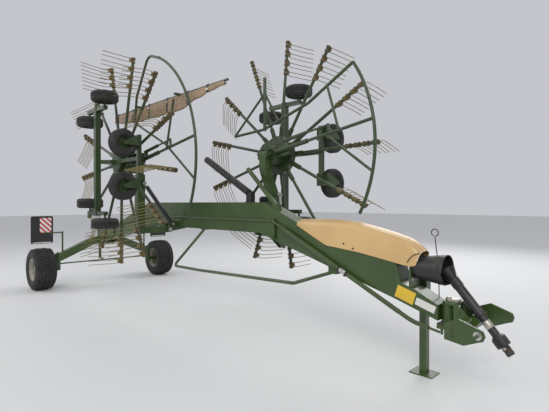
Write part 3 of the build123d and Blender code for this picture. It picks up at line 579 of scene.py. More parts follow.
@dataclass(frozen=True)
class Canvas(Finish):
    """Coarse brown tarpaulin, weathered in patches."""

    colour: Colour = (0.27, 0.18, 0.105)
    faded: Colour = (0.37, 0.26, 0.16)
    thread: float = 0.006

    def lay(self, board: Board, at: Wire) -> None:
        """Lay the nodes.

        Args:
            board: the material's node tree.
            at: position in the piece's own axes.
        """
        warp, weft = (board.maths("SINE", board.axis(at, name) * (TURN / self.thread)) for name in "XZ")
        weave = warp * weft
        patches = board.noise(at, 3.2, 6.0, 0.62)
        marks = board.noise(board.stretched(at, (6.0, 6.0, 1.5)), 2.0, 6.0, 0.7)
        base = board.mix(patches.ramp(0.35, 0.7), self.colour, self.faded)
        base = board.mix((marks.ramp(0.55, 0.85) * 0.3).clipped(), base, SOIL)
        board.set(Base_Color=board.mix((weave * 0.05 + 0.05).clipped(), base, self.faded),
                  Roughness=(patches * 0.15 + 0.78).clipped(), Sheen_Weight=0.25)
        board.bump(weave * 0.2 + patches, 0.0012)


@dataclass(frozen=True)
class Stripes(Finish):
    """Retroreflective face with slanted red and white bands."""

    band: float = 0.1
    red: Colour = (0.48, 0.012, 0.02)
    white: Colour = (0.78, 0.77, 0.74)
    comb: Colour = (0.6, 0.58, 0.55)

    def lay(self, board: Board, at: Wire) -> None:
        """Lay the nodes.

        Args:
            board: the material's node tree.
            at: position in the piece's own axes.
        """
        slant = board.maths("ABSOLUTE", board.axis(at, "Y")) - board.axis(at, "Z")
        bands = board.maths("FRACT", slant / self.band).above(0.5)
        cells = board.wire("ShaderNodeTexVoronoi", {"Vector": at, "Scale": 240.0}, feature="DISTANCE_TO_EDGE")
        comb = cells.ramp(0.0, 0.25)
        grime = board.noise(at, 9.0, 6.0, 0.65).ramp(0.5, 0.8)
        base = board.mix(comb * 0.15, board.mix(bands, self.white, self.red), self.comb)
        board.set(Base_Color=board.mix((grime * 0.35).clipped(), base, SOIL),
                  Roughness=(grime * 0.4 + 0.28).clipped(), Coat_Weight=0.4)
        board.bump(comb, 0.0003)


@dataclass(frozen=True)
class Lens(Finish):
    """Ribbed reflector, with painted shade in darker bands along its ribs."""

    colour: Colour
    rib: float = 0.006
    # Share of the colour left in the painted shade of the rib grooves
    deep: float = 0.55

    def lay(self, board: Board, at: Wire) -> None:
        """Lay the nodes.

        Args:
            board: the material's node tree.
            at: position in the piece's own axes.
        """
        ribs = board.maths("SINE", board.axis(at, "Z") * (TURN / self.rib))
        cells = board.noise(at, 30.0, 4.0)
        # Painted shade: the colour darkens in bands with the ribs, as if their grooves lay in shade
        shade = tuple(c * self.deep for c in self.colour)
        board.set(Base_Color=board.mix((ribs * 0.2 + 0.3).clipped(), self.colour, shade),
                  Roughness=(cells * 0.12 + 0.1).clipped(), Coat_Weight=0.6, Specular_IOR_Level=0.6)
        board.bump(ribs, 0.0006)


class PaintBox:
    """Every finish of the machine, made once."""

    def __init__(self) -> None:
        """Make all materials."""
        self.green = Paint("green", (0.042, 0.084, 0.016), (0.03, 0.06, 0.012)).make()
        self.dark_green = Paint("rotor_green", (0.029, 0.055, 0.014), (0.02, 0.038, 0.011), 0.4, 0.6,
                                0.12).make()
        self.beige = Paint("beige", (0.66, 0.44, 0.19), (0.57, 0.37, 0.155), 0.42, 0.12, 0.18).make()
        self.cream = Paint("cream", (0.8, 0.68, 0.46), (0.74, 0.61, 0.4), 0.36, 0.15, 0.3).make()
        self.rubber = Rubber("rubber").make()
        self.rim = Paint("rim", (0.36, 0.34, 0.28), (0.25, 0.23, 0.18), 0.45, 0.5, 0.05).make()
        self.black = Moulding("black_moulding").make()
        self.steel = Metal("steel", (0.55, 0.55, 0.53), (0.16, 0.09, 0.05), 0.25, 0.3).make()
        self.zinc = Metal("zinc", (0.5, 0.48, 0.42), (0.2, 0.13, 0.07), 0.38, 0.4).make()
        self.iron = Metal("iron", (0.07, 0.068, 0.065), (0.06, 0.035, 0.02), 0.45, 0.5, 0.6).make()
        self.spring = Metal("spring", (0.25, 0.2, 0.085), (0.075, 0.05, 0.022), 0.45, 0.45, 0.4).make()
        self.holder = Paint("holder", (0.13, 0.09, 0.025), (0.055, 0.038, 0.014), 0.5, 0.5, 0.0).make()
        self.canvas = Canvas("canvas").make()
        self.stripes = Stripes("stripes").make()
        self.red = Lens("red_lens", (0.5, 0.01, 0.012)).make()
        self.yellow = Paint("yellow_label", (0.75, 0.5, 0.03), (0.68, 0.44, 0.03), 0.4, 0.25, 0.2).make()
        self.white = Paint("white_label", (0.75, 0.74, 0.7), (0.66, 0.65, 0.6), 0.4, 0.3, 0.2).make()


@dataclass
class Machine:
    """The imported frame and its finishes."""

    frame: dict
    paints: PaintBox

    def joint(self, name: str) -> Vector:
        """Place of a joint in the frame."""
        return Vector(next(j["pos_m"] for j in self.frame["joints"] if j["name"] == name))

    def at(self, x: float, y: float, z: float) -> Vector:
        """A point in the frame, from its distances ahead of the axle, to the left and above the floor."""
        return Vector((x + self.joint("left_wheel_spin").x, y, z))

    def body(self, node: str) -> str:
        """Name of the body that holds a node."""
        return self.frame["nodes"][node]["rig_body"]

    def paint(self, nodes: Iterable[str], material: bpy.types.Material) -> None:
        """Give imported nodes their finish.

        Args:
            nodes: names of the nodes.
            material: the finish.
        """
        for node in nodes:
            mesh = self.frame["nodes"][node].data
            mesh.materials.clear()
            mesh.materials.append(material)

    def dress(self, maker: MeshMaker, name: str, body: str, slot: Slot, finishes: Sequence[str],
              replaces: Sequence[str] = (), smooth_deg: float = 35) -> bpy.types.Object:
        """Turn collected geometry into a piece that rides on a body.

        Args:
            maker: the geometry.
            name: the piece's name.
            body: the body that it rides on.
            slot: the record's slot for the piece's finish; not used.
            finishes: names in the paint box, by material number.
            replaces: nodes that it stands for.
            smooth_deg: edges under this angle are shaded smooth.

        Returns:
            The piece.
        """
        piece = maker.piece(name, [getattr(self.paints, finish) for finish in finishes], smooth_deg)
        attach(piece, body)
        if replaces:
            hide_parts(*replaces)
        LOG.info("%s rides on %s, %d faces", name, body, len(maker.faces))
        return piece


@dataclass
class Assembly:
    """One group of pieces of a machine; each kind builds its own."""

    machine: Machine

    def at(self, x: float, y: float, z: float) -> Vector:
        """A point in the frame, from its distances ahead of the axle, to the left and above the floor."""
        return self.machine.at(x, y, z)

    def build(self) -> None:
        """Make the group's pieces."""
        raise NotImplementedError


@dataclass
class Studio(Assembly):
    """Floor, lamps, world and camera."""

    focal_px: float = 415.0
    frame_width_px: float = 549.0
    sensor_mm: float = 36.0
    camera_from_axle: tuple[float, float, float] = (9.2018, -3.89995, 1.72935)
    yaw: float = 2.35494
    pitch: float = -0.0063
    floor_half: float = 60.0
    # Columns: name, place, size, watts
    lamps: tuple[tuple, ...] = (
        ("key", (9.0, -9.0, 9.0), 6.0, 760.0),
        ("fill", (-8.0, -8.0, 7.0), 7.0, 340.0),
        ("back", (0.0, 10.0, 8.0), 6.0, 520.0),
    )
    lamp_target: tuple[float, float, float] = (0.0, 0.0, 1.5)
    sky: tuple[float, ...] = (0.92, 0.94, 1.0, 1.0)
    sky_strength: float = 0.6

    def build(self) -> None:
        """Set up everything round the machine."""
        self.camera()
        self.floor()
        for name, place, size, watts in self.lamps:
            self.lamp(name, place, size, watts)
        world = bpy.data.worlds.new("studio")
        world.use_nodes = True
        background = world.node_tree.nodes["Background"]
        background.inputs[0].default_value = self.sky
        background.inputs[1].default_value = self.sky_strength
        bpy.context.scene.world = world
        bpy.context.scene.view_settings.view_transform = "Standard"

    def camera(self) -> None:
        """Place the camera where the photograph was taken."""
        data = bpy.data.cameras.new("photo_camera")
        data.sensor_width = self.sensor_mm
        data.lens = self.focal_px / self.frame_width_px * self.sensor_mm
        data.clip_end = 200.0
        eye = bpy.data.objects.new("photo_camera", data)
        eye.location = Vector(self.camera_from_axle) + FORWARD * self.machine.joint("left_wheel_spin").x
        level = math.cos(self.pitch)
        look = Vector((math.cos(self.yaw) * level, math.sin(self.yaw) * level, math.sin(self.pitch)))
        eye.rotation_euler = look.to_track_quat("-Z", "Y").to_euler()
        bpy.context.scene.collection.objects.link(eye)
        bpy.context.scene.camera = eye

    def floor(self) -> None:
        """Lay the pale floor."""
        maker = MeshMaker()
        h = self.floor_half
        maker.add([(-h, -h, 0), (h, -h, 0), (h, h, 0), (-h, h, 0)], [(0, 1, 2, 3)])
        board = Board("floor")
        board.set(Base_Color=(0.72, 0.72, 0.71, 1.0), Roughness=0.85)
        plate = maker.piece("floor", [board.material])

    def lamp(self, name: str, place: Point, size: float, watts: float) -> None:
        """Hang a large soft lamp that looks at the machine.

        Args:
            name: the lamp's name.
            place: where it hangs.
            size: length of its sides.
            watts: its power.
        """
        data = bpy.data.lights.new(name, "AREA")
        data.size = size
        data.energy = watts
        lamp = bpy.data.objects.new(name, data)
        lamp.location = place
        lamp.rotation_euler = (Vector(self.lamp_target) - Vector(place)).to_track_quat("-Z", "Y").to_euler()
        bpy.context.scene.collection.objects.link(lamp)


@dataclass
class PlainNodes(Assembly):
    """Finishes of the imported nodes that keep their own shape."""

    green: tuple[str, ...] = (
        "main_beam", "axle_beam", "side_guard", "headstock", "stand_leg", "relay_lever", "front_steer_rod",
        "rear_steer_rod", "steer_crank", "track_rod", "left_knuckle", "right_knuckle", "beam_strut",
        "front_boom", "rear_boom_sleeve", "rear_boom_slide", "front_hinge_bracket", "rear_hinge_bracket",
    )
    black: tuple[str, ...] = ("parked_tube", "front_fold_barrel", "rear_fold_barrel")
    steel: tuple[str, ...] = ("front_fold_rod", "rear_fold_rod")
    per_rotor: tuple[str, ...] = ("spider", "gearbox", "chassis", "guard_bow", "caster_outer", "caster_inner")

    def build(self) -> None:
        """Paint them."""
        paints = self.machine.paints
        self.machine.paint(self.green, paints.green)
        self.machine.paint(self.black, paints.black)
        self.machine.paint(self.steel, paints.steel)
        for rotor in ("front", "rear"):
            self.machine.paint([f"{rotor}_{part}" for part in self.per_rotor], paints.dark_green)


@dataclass
class RoadWheel(Assembly):
    """Flotation tyre with blocks, and its rim with nuts, on one side."""

    side: Side
    outer: float = 0.415
    half_width: float = 0.19
    seat: float = 0.216
    tread_depth: float = 0.016
    tread_sink: float = 0.0055
    tread_root: float = 0.004
    edge_drop: float = 0.012
    columns: int = 5
    rows: int = 34
    skew: float = 0.35
    splay: float = 0.25
    rim_half: float = 0.165
    nut_circle: float = 0.103

    @property
    def road(self) -> float:
        """Radius below the tread."""
        return self.outer - self.tread_depth

    def build(self) -> None:
        """Make the tyre and rim of this side."""
        label = self.side.name.lower()
        centre = self.machine.joint(f"{label}_wheel_spin")
        flip = Matrix.Rotation(0.0 if self.side is Side.LEFT else math.pi, 4, "Z")
        for kind, maker, slot, finishes in (("tyre", self.tyre(), Slot.TYRE, ["rubber"]),
                                            ("rim", self.rim(), Slot.RIM, ["rim", "zinc"])):
            maker.points = [flip @ p + centre for p in maker.points]
            self.machine.dress(maker, f"{label}_{kind}_dressed", f"{label}_wheel", slot, finishes,
                               [f"{label}_{kind}"])

    def tyre(self) -> MeshMaker:
        """The carcass and its tread, about the origin along Y.

        Returns:
            The geometry.
        """
        maker = MeshMaker()
        w, r, seat = self.half_width, self.road, self.seat
        # Columns: radius, distance in from the tyre's side
        half = [(seat, 0.035), (seat + 0.01, 0.02), (seat + 0.04, 0.006), (seat + 0.08, 0), (r - 0.075, 0),
                (r - 0.045, 0.006), (r - 0.022, 0.02), (r - 0.008, 0.045), (r - 0.001, 0.085), (r, 0.13)]
        section = mirrored([(radius, inset - w) for radius, inset in half])
        section += [(seat - 0.004, w - 0.04), (seat - 0.004, -w + 0.04)]
        maker.lathe(section, ORIGIN, LEFT, 96)
        self.tread(maker)
        self.lugs(maker)
        return maker

    def tread(self, maker: MeshMaker) -> None:
        """Slanted blocks in rows and columns round the road face.

        Args:
            maker: takes the geometry.
        """
        pitch = TURN / self.rows
        wide = (2 * self.half_width - 0.05) / self.columns
        size = (self.outer * pitch * 0.36, wide * 0.4, self.tread_depth / 2 + self.tread_root)
        for column, row in product(range(self.columns), range(self.rows)):
            across = (column - (self.columns - 1) / 2) * wide
            a = pitch * (row + 0.5 * (column % 2))
            out = Vector((math.cos(a), 0, math.sin(a)))
            along = Vector((-math.sin(a), 0, math.cos(a)))
            skew = self.skew * (1 if column % 2 else -1) + (self.splay if across > 0 else -self.splay)
            lay = (along + LEFT * skew).normalized()
            drop = self.edge_drop if column in (0, self.columns - 1) else 0.0
            centre = out * (self.road + self.tread_depth / 2 - self.tread_sink - drop) + LEFT * across
            maker.block(centre, size, 0.004, turn=axes(lay, out.cross(lay), out))

    def lugs(self, maker: MeshMaker) -> None:
        """Shoulder lugs that run down the side walls.

        Args:
            maker: takes the geometry.
        """
        pitch = TURN / self.rows
        for face, row in product(SIDES, range(self.rows)):
            a = pitch * (row + 0.25)
            out = Vector((math.cos(a), 0, math.sin(a)))
            along = Vector((-math.sin(a), 0, math.cos(a)))
            lean = (out * 0.72 - LEFT * (face * 0.45)).normalized()
            centre = out * (self.road - 0.03) + LEFT * (face * (self.half_width - 0.02))
            maker.block(centre, (self.outer * pitch * 0.3, 0.008, 0.03), 0.003,
                        turn=axes(along, along.cross(lean), lean))

    def rim(self) -> MeshMaker:
        """Rim barrel, dished disc, hub cap and nuts, about the origin; +Y is the outer side.

        Returns:
            The geometry.
        """
        maker = MeshMaker()
        half, seat = self.rim_half, self.seat
        barrel = [(seat + 0.006, -half), (seat + 0.006, -half + 0.012), (seat - 0.006, -half + 0.03),
                  (seat - 0.03, -half + 0.06), (seat - 0.034, 0.0), (seat - 0.03, half - 0.06),
                  (seat - 0.006, half - 0.03), (seat + 0.006, half - 0.012), (seat + 0.006, half),
                  (seat - 0.008, half), (seat - 0.02, half - 0.03), (seat - 0.04, half - 0.055),
                  (seat - 0.042, -half + 0.055), (seat - 0.02, -half + 0.03), (seat - 0.008, -half)]
        disc = [(seat - 0.036, 0.075), (0.15, 0.062), (0.125, 0.03), (0.085, 0.03), (0.078, 0.1),
                (0.05, 0.105), (0.048, 0.118), (0.0005, 0.12), (0.0005, 0.012), (0.08, 0.012),
                (0.13, 0.016), (0.155, 0.05), (seat - 0.036, 0.06)]
        for profile in (barrel, disc):
            maker.lathe(profile, ORIGIN, LEFT, 72)
        for a in circle(6):
            at = Vector((math.cos(a) * self.nut_circle, 0.03, math.sin(a) * self.nut_circle))
            maker.bolt(at, LEFT, 0.013, 0.018, 1)
        return maker


@dataclass(frozen=True)
class RotorPlace:
    """Where a folded rotor stands: its own X, Y and W axes in the frame."""

    name: str
    centre: Vector
    # 1 where the rotor's upper face looks right, -1 where it looks left
    sense: float
    # Angle of the first arm
    first_deg: float

    def at(self, x: float, y: float, w: float) -> Vector:
        """A point given in the rotor's own axes, in the frame."""
        return self.centre + Vector((x, -self.sense * w, self.sense * y))

    def arm_deg(self, arm: float) -> float:
        """Angle of an arm round the hub."""
        return 360 / TineSet.arm_count * arm + self.first_deg

    @classmethod
    def both(cls, machine: Machine) -> list[RotorPlace]:
        """The front and the rear rotor."""
        return [cls("front", machine.joint("front_rotor_spin"), 1.0, 1.2),
                cls("rear", machine.joint("rear_rotor_spin"), -1.0, 7.7)]


@dataclass
class TineSet(Assembly):
    """Coiled double tines with their clamps, below every arm of one rotor."""

    place: RotorPlace
    arm_count: int = 13
    arm_circle: float = 1.58
    arm_radius: float = 0.021
    rows: int = 4
    end_gap: float = 0.045
    pitch: float = 0.125
    split: float = 0.056
    wire: float = 0.0046
    coil_radius: float = 0.0165
    coil_turns: float = 2.6
    coil_width: float = 0.026
    coil_steps: int = 26
    drop: float = 0.49
    kink_drop: float = 0.118
    kink_out: float = 0.034
    lag: float = 0.062
    cam_half_deg: float = 80.0
    cam_ramp_deg: float = 45.0
    cam_turn_deg: float = 88.0

    def build(self) -> None:
        """Make the whole set as one piece on the rotor."""
        maker = MeshMaker()
        for arm, row in product(range(self.arm_count), range(self.rows)):
            angle = self.place.arm_deg(arm)
            root = self.arm_circle - self.end_gap - row * self.pitch
            for side in SIDES:
                self.prong(maker, root, angle, side * self.split / 2)
            self.clamp(maker, root, angle)
        name = self.place.name
        self.machine.dress(maker, f"{name}_tines_dressed", f"{name}_rotor", Slot.SPRING,
                           ["spring", "holder", "zinc"], [f"{name}_tines"], 60)

    def laid(self, angle_deg: float, along: float, aside: float, up: float) -> Vector:
        """A point beside an arm, turned about it as far as the cam has it.

        Args:
            angle_deg: the arm's angle round the hub.
            along: distance from the rotor's axle.
            aside: sideways place before the turn.
            up: height before the turn.

        Returns:
            The point in the frame.
        """
        off = abs(angle_deg % 360 - 180)
        lifted = max(0.0, min(1.0, (self.cam_half_deg - off) / self.cam_ramp_deg))
        turn = math.radians(self.cam_turn_deg * lifted) * self.place.sense
        y = aside * math.cos(turn) - up * math.sin(turn)
        w = aside * math.sin(turn) + up * math.cos(turn)
        cos, sin = math.cos(math.radians(angle_deg)), math.sin(math.radians(angle_deg))
        return self.place.at(along * cos - y * sin, along * sin + y * cos, w)

    def prong(self, maker: MeshMaker, root: float, angle_deg: float, offset: float) -> None:
        """One coil and its prong.

        Args:
            maker: takes the geometry.
            root: distance of the double tine from the rotor's axle.
            angle_deg: the arm's angle.
            offset: the prong's place along the arm, from the double tine's middle.
        """
        sense, steps = self.place.sense, self.coil_steps
        low = -self.arm_radius - self.coil_radius - self.wire - 0.001
        way = math.copysign(1.0, offset)
        path = []
        for k in range(steps + 1):
            t = k / steps
            a = TURN * self.coil_turns * (t - 1)
            path.append((root + offset - way * (1 - t) * self.coil_width,
                         sense * self.coil_radius * math.cos(a), low + self.coil_radius * math.sin(a)))
        # Columns: sideways place, height
        bend = [(path[-1][1], path[-1][2] - 0.012),
                (sense * self.kink_out * 0.75, -self.kink_drop * 0.7),
                (sense * self.kink_out, -self.kink_drop),
                (sense * (self.kink_out - 0.012), -self.kink_drop - 0.06),
                (sense * (self.kink_out - self.lag) * 0.35, -self.kink_drop - 0.2),
                (-sense * self.lag, -self.drop)]
        path += [(root + offset, y, w) for y, w in bend]
        maker.tube([self.laid(angle_deg, *point) for point in path], self.wire, 6)

    def clamp(self, maker: MeshMaker, root: float, angle_deg: float) -> None:
        """The saddle that holds one double tine below its arm, with its bolt.

        Args:
            maker: takes the geometry.
            root: distance of the double tine from the rotor's axle.
            angle_deg: the arm's angle.
        """
        middle = self.laid(angle_deg, root, 0, 0)
        out = (self.laid(angle_deg, root + 1, 0, 0) - middle).normalized()
        across = (self.laid(angle_deg, root, 1, 0) - middle).normalized()
        down = (self.laid(angle_deg, root, 0, -1) - middle).normalized()
        maker.block(middle + down * 0.041, (0.013, 0.017, 0.019), 0.003, 1, axes(out, across, down))
        seat = self.arm_radius + 0.0003
        sleeve = mirrored([(seat, -0.04), (seat + 0.008, -0.04), (seat + 0.012, -0.036),
                           (seat + 0.012, -0.024), (seat + 0.006, -0.02)])
        maker.lathe(sleeve, middle, out, 16, 1)
        maker.bolt(middle + down * 0.06, down, 0.009, 0.008, 2)


@dataclass
class SmallWheels(Assembly):
    """Balloon wheels of the rotors' chassis."""

    outer: float = 0.195
    half_width: float = 0.076
    hub: float = 0.016

    def build(self) -> None:
        """Make every chassis wheel."""
        for name in ("front", "rear"):
            for end in ("outer_front", "outer_back", "inner_front", "inner_back"):
                self.wheel(f"{name}_wheel_{end}", f"{name}_tandem_{end}_spin", UP)
            for end in ("outer", "inner"):
                self.wheel(f"{name}_caster_wheel_{end}", f"{name}_{end}_caster_spin", FORWARD)

    def wheel(self, node: str, joint: str, axis: Vector) -> None:
        """A ribbed tyre on a pressed rim.

        Args:
            node: the node that it stands for.
            joint: the joint that it turns on.
            axis: its axle's direction.
        """
        maker = MeshMaker()
        centre = self.machine.joint(joint)
        r, w = self.outer, self.half_width
        half = [(0.098, -w + 0.022), (0.104, -w + 0.01), (0.118, -w + 0.002), (0.14, -w), (0.16, -w + 0.002),
                (0.176, -w + 0.009), (0.187, -w + 0.021), (r, -w + 0.038), (r, -0.024), (r - 0.007, -0.021),
                (r - 0.007, -0.015), (r, -0.012), (r, -0.0045), (r - 0.006, -0.003)]
        maker.lathe(mirrored(half), centre, axis, 56)
        rim = [(0.1, -0.056), (0.1, -0.05), (0.088, -0.044), (0.086, -0.012), (0.06, -0.006), (0.032, -0.01),
               (0.03, -0.062), (self.hub, -0.064)]
        maker.lathe(mirrored(rim), centre, axis, 40, 1)
        self.machine.dress(maker, f"{node}_dressed", self.machine.body(node), Slot.TYRE,
                           ["rubber", "dark_green"], [node])


@dataclass
class Hood(Assembly):
    """Moulded cover over the drive line, with rounded upper edges and a rolled lip."""

    half: float = 0.124
    edge: float = 0.05
    crown: float = 0.016
    wall: float = 0.005
    lip: float = 0.0045
    arc_steps: int = 6
    # Columns: place ahead of the axle, height of the roof, height of the walls' lower edge, lean of the
    # section for each metre down, share of the full width
    stations: tuple[tuple[float, ...], ...] = (
        (5.815, 1.534, 1.47, 0.0, 0.94), (5.83, 1.538, 1.461, 0.0, 0.99), (5.95, 1.541, 1.403, 0.0, 1.0),
        (6.1, 1.544, 1.331, 0.0, 1.0), (6.24, 1.545, 1.264, 0.0, 1.0), (6.28, 1.545, 1.25, 0.0, 1.0),
        (6.415, 1.542, 1.238, 0.0, 1.0), (6.57, 1.534, 1.222, 0.0, 1.0), (6.72, 1.512, 1.206, 0.0, 1.0),
        (6.94, 1.463, 1.174, 0.05, 1.0), (7.1, 1.425, 1.151, 0.12, 1.0), (7.24, 1.383, 1.131, 0.2, 1.0),
        (7.3, 1.349, 1.124, 0.26, 1.0), (7.345, 1.316, 1.121, 0.31, 0.985),
        (7.375, 1.289, 1.122, 0.335, 0.95), (7.39, 1.272, 1.136, 0.335, 0.9),
    )
    strap: tuple[tuple[float, float, float], ...] = (
        (7.261, -0.1285, 1.15), (7.285, -0.1315, 1.19), (7.325, -0.131, 1.228), (7.378, -0.119, 1.252),
        (7.384, -0.108, 1.25),
    )
    # Columns: place ahead of the axle, height
    bolts: tuple[tuple[float, float], ...] = ((6.511, 1.286), (6.632, 1.24))

    def build(self) -> None:
        """Make the shell in place of the plain cover."""
        offset = self.at(0, 0, 0)
        rings = []
        for x, top, bottom, lean, share in self.stations:
            ring = self.section(top, bottom, self.half * share)
            rings.append([Vector((x - lean * (top - z), y, z)) + offset for y, z in ring])
        maker = MeshMaker()
        maker.loft(rings, wall=True)
        skin = len(rings[0]) // 2
        # Rolled edges: along the front opening, and along both walls' lower edges
        front = enumerate(rings[-1][1:skin - 1])
        maker.tube([p + UP * (0.002 * math.sin(k * 1.3)) for k, p in front], self.lip, 8, 1)
        for k in (0, skin - 1):
            maker.tube([ring[k] for ring in rings], self.lip * 0.8, 6)
        maker.tube([self.at(*point) for point in self.strap], 0.004, 8, 2)
        for side, (x, z) in product(SIDES, self.bolts):
            maker.bolt(self.at(x, side * self.half, z), LEFT * side, 0.009, 0.006, 2)
        self.machine.dress(maker, "hood_dressed", "frame", Slot.BEIGE, ["beige", "cream", "black"],
                           ["hood"], 50)

    def section(self, top: float, bottom: float, half: float) -> list[tuple[float, float]]:
        """One cross section: the outer skin from right to left, then the inner skin back.

        Args:
            top: height of the roof.
            bottom: height of the side walls' lower edge.
            half: half the width.

        Returns:
            A closed outline of places to the left and heights.
        """
        radius = min(self.edge, (top - bottom) * 0.6)
        shoulder = top - self.crown - radius
        left = [(half, bottom), (half, (bottom + shoulder) / 2)]
        for k in range(self.arc_steps):
            a = math.pi / 2 * k / (self.arc_steps - 1)
            left.append((half - radius + radius * math.cos(a), shoulder + radius * math.sin(a)))
        left += [((half - radius) * t, top - self.crown * t * t) for t in (0.7, 0.35, 0.0)]
        outer = [(-y, z) for y, z in left[:-1]] + left[::-1]
        inner = [(y - math.copysign(self.wall, y) * (abs(y) > half - radius), z - self.wall * (z > shoulder))
                 for y, z in reversed(outer)]
        return outer + inner


@dataclass
class DriveLine(Assembly):
    """Bearing plate, lobed guard cone and the guarded propeller shaft."""

    axis_z: float = 1.1
    plate_x: float = 7.285
    plate_z: float = 1.077
    plate_size: tuple[float, float, float] = (0.01, 0.116, 0.163)
    plate_bolts: tuple[tuple[float, float], ...] = ((-0.085, 0.985), (-0.085, 1.205), (0.085, 0.985),
                                                    (0.085, 1.205))
    cone_from: float = 7.297
    cone_wall: float = 0.005
    lobes: int = 9
    shaft_from: float = 7.595
    slope_deg: float = 50.0
    # Columns: distance from the flange, radius
    cone: tuple[tuple[float, float], ...] = (
        (0.0, 0.1), (0.004, 0.106), (0.03, 0.11), (0.036, 0.114), (0.05, 0.114), (0.056, 0.112),
        (0.12, 0.122), (0.19, 0.132), (0.245, 0.139), (0.252, 0.143), (0.264, 0.143), (0.27, 0.141),
        (0.29, 0.144), (0.308, 0.147), (0.311, 0.145),
    )

    def build(self) -> None:
        """Make both pieces."""
        self.machine.dress(self.bearing(), "drive_bearing_dressed", "frame", Slot.BLACK,
                           ["black", "green", "steel"], ["drive_bearing"], 40)
        self.machine.dress(self.shaft(), "propeller_shaft_dressed", self.machine.body("propeller_shaft"),
                           Slot.BLACK, ["black", "iron", "zinc"], ["propeller_shaft"], 40)

    def bearing(self) -> MeshMaker:
        """Plate with its bolts, boss, splined stub and the cone.

        Returns:
            The geometry.
        """
        maker = MeshMaker()
        maker.block(self.at(self.plate_x, 0, self.plate_z), self.plate_size, 0.002, 1)
        seat = self.at(self.plate_x, 0, self.axis_z)
        boss = [(0.062, 0.005), (0.062, 0.05), (0.055, 0.06), (0.0185, 0.06), (0.0185, 0.005)]
        maker.lathe(boss, seat, FORWARD, 40, 1)
        stub = [(0.0165, 0.0), (0.0165, 0.235), (0.0145, 0.24)]
        maker.lathe(stub, seat, FORWARD, 24, 2, closed=False)
        for a in circle(6):
            spline = seat + FORWARD * 0.15 + Vector((0, math.cos(a), math.sin(a))) * 0.0158
            maker.block(spline, (0.08, 0.0022, 0.0016), 0.0003, 2, Matrix.Rotation(a, 3, "X"))
        for (y, z), face in product(self.plate_bolts, SIDES):
            at = self.at(self.plate_x + face * self.plate_size[0], y, z)
            maker.bolt(at, FORWARD * face, 0.012, 0.009, 2)
        maker.loft(self.cone_slices(), closed=True)
        return maker

    def cone_slices(self) -> list[list[Vector]]:
        """Wall sections of the cone, one after the other round its axis.

        Returns:
            A closed ring of points for each section.
        """
        seat = self.at(self.cone_from, 0, self.axis_z)
        wall = [*self.cone, *((s, r - self.cone_wall) for s, r in reversed(self.cone))]
        slices = []
        for a in circle(self.lobes * 14):
            wave = (0.5 - 0.5 * math.cos(a * self.lobes)) * min(1.0, max(0.0, 0.3 - math.cos(a)))
            out = Vector((0, math.sin(a), math.cos(a)))
            ring = []
            for s, r in wall:
                edge = max(0.0, (s - 0.19) / 0.12)
                ring.append(seat + FORWARD * (s - 0.022 * wave * edge) + out * (r * (1 - 0.03 * wave * edge)))
            slices.append(ring)
        return slices

    def guard(self) -> list[tuple[float, float]]:
        """Profile of the bellows, the telescopic tubes and the end bell.

        Returns:
            Radius and distance along the shaft's axis, point by point.
        """
        line = [(0.001, -0.008), (0.062, -0.008)]
        for k in range(6):
            wide, z = 0.084 - 0.0065 * k, 0.016 * k
            line += [(wide, -0.003 + z), (wide, 0.003 + z), (wide - 0.011, 0.006 + z),
                     (wide - 0.011, 0.0095 + z)]
        line += [(0.046, 0.094), (0.05, 0.1)]
        for z in (0.018 * k for k in range(4)):
            line += [(0.05, 0.106 + z), (0.0465, 0.109 + z), (0.0465, 0.115 + z), (0.05, 0.118 + z)]
        line += [(0.05, 0.178), (0.044, 0.182), (0.0425, 0.19), (0.0425, 0.452), (0.0445, 0.456),
                 (0.0445, 0.474), (0.0425, 0.48), (0.036, 0.48), (0.036, 0.67), (0.05, 0.684), (0.061, 0.696)]
        for z in (0.017 * k for k in range(4)):
            line += [(0.064, 0.7 + z), (0.064, 0.706 + z), (0.0595, 0.709 + z)]
        return line + [(0.064, 0.772), (0.058, 0.776), (0.052, 0.74), (0.001, 0.74)]

    def shaft(self) -> MeshMaker:
        """The guard, a bright ring that stands for the highlight on its thin tube, and the yoke, along the
        shaft's axis.

        Returns:
            The geometry.
        """
        slope = math.radians(self.slope_deg)
        way = Vector((math.cos(slope), 0, -math.sin(slope)))
        seat = self.at(self.shaft_from, 0, self.axis_z)
        maker = MeshMaker()
        maker.lathe(self.guard(), seat, way, 48)
        # Bright zinc ring round the thin tube: painted highlight where light glints along the tube
        ring = [(0.0368, 0.535), (0.0368, 0.6), (0.0355, 0.602), (0.0355, 0.533)]
        maker.lathe(ring, seat, way, 40, 2)
        yoke = [(0.03, 0.742), (0.03, 0.79), (0.036, 0.795), (0.036, 0.812), (0.033, 0.816), (0.033, 0.826),
                (0.036, 0.83), (0.036, 0.846), (0.033, 0.85), (0.033, 0.86), (0.0178, 0.86), (0.0178, 0.742)]
        maker.lathe(yoke, seat, way, 40, 1)
        turn = axes(way, LEFT, way.cross(LEFT))
        for side in SIDES:
            ear = seat + way * 0.79
            maker.block(ear + LEFT * (side * 0.031), (0.026, 0.007, 0.022), 0.003, 1, turn)
            maker.bolt(ear + LEFT * (side * 0.038), LEFT * side, 0.011, 0.006, 2)
        return maker


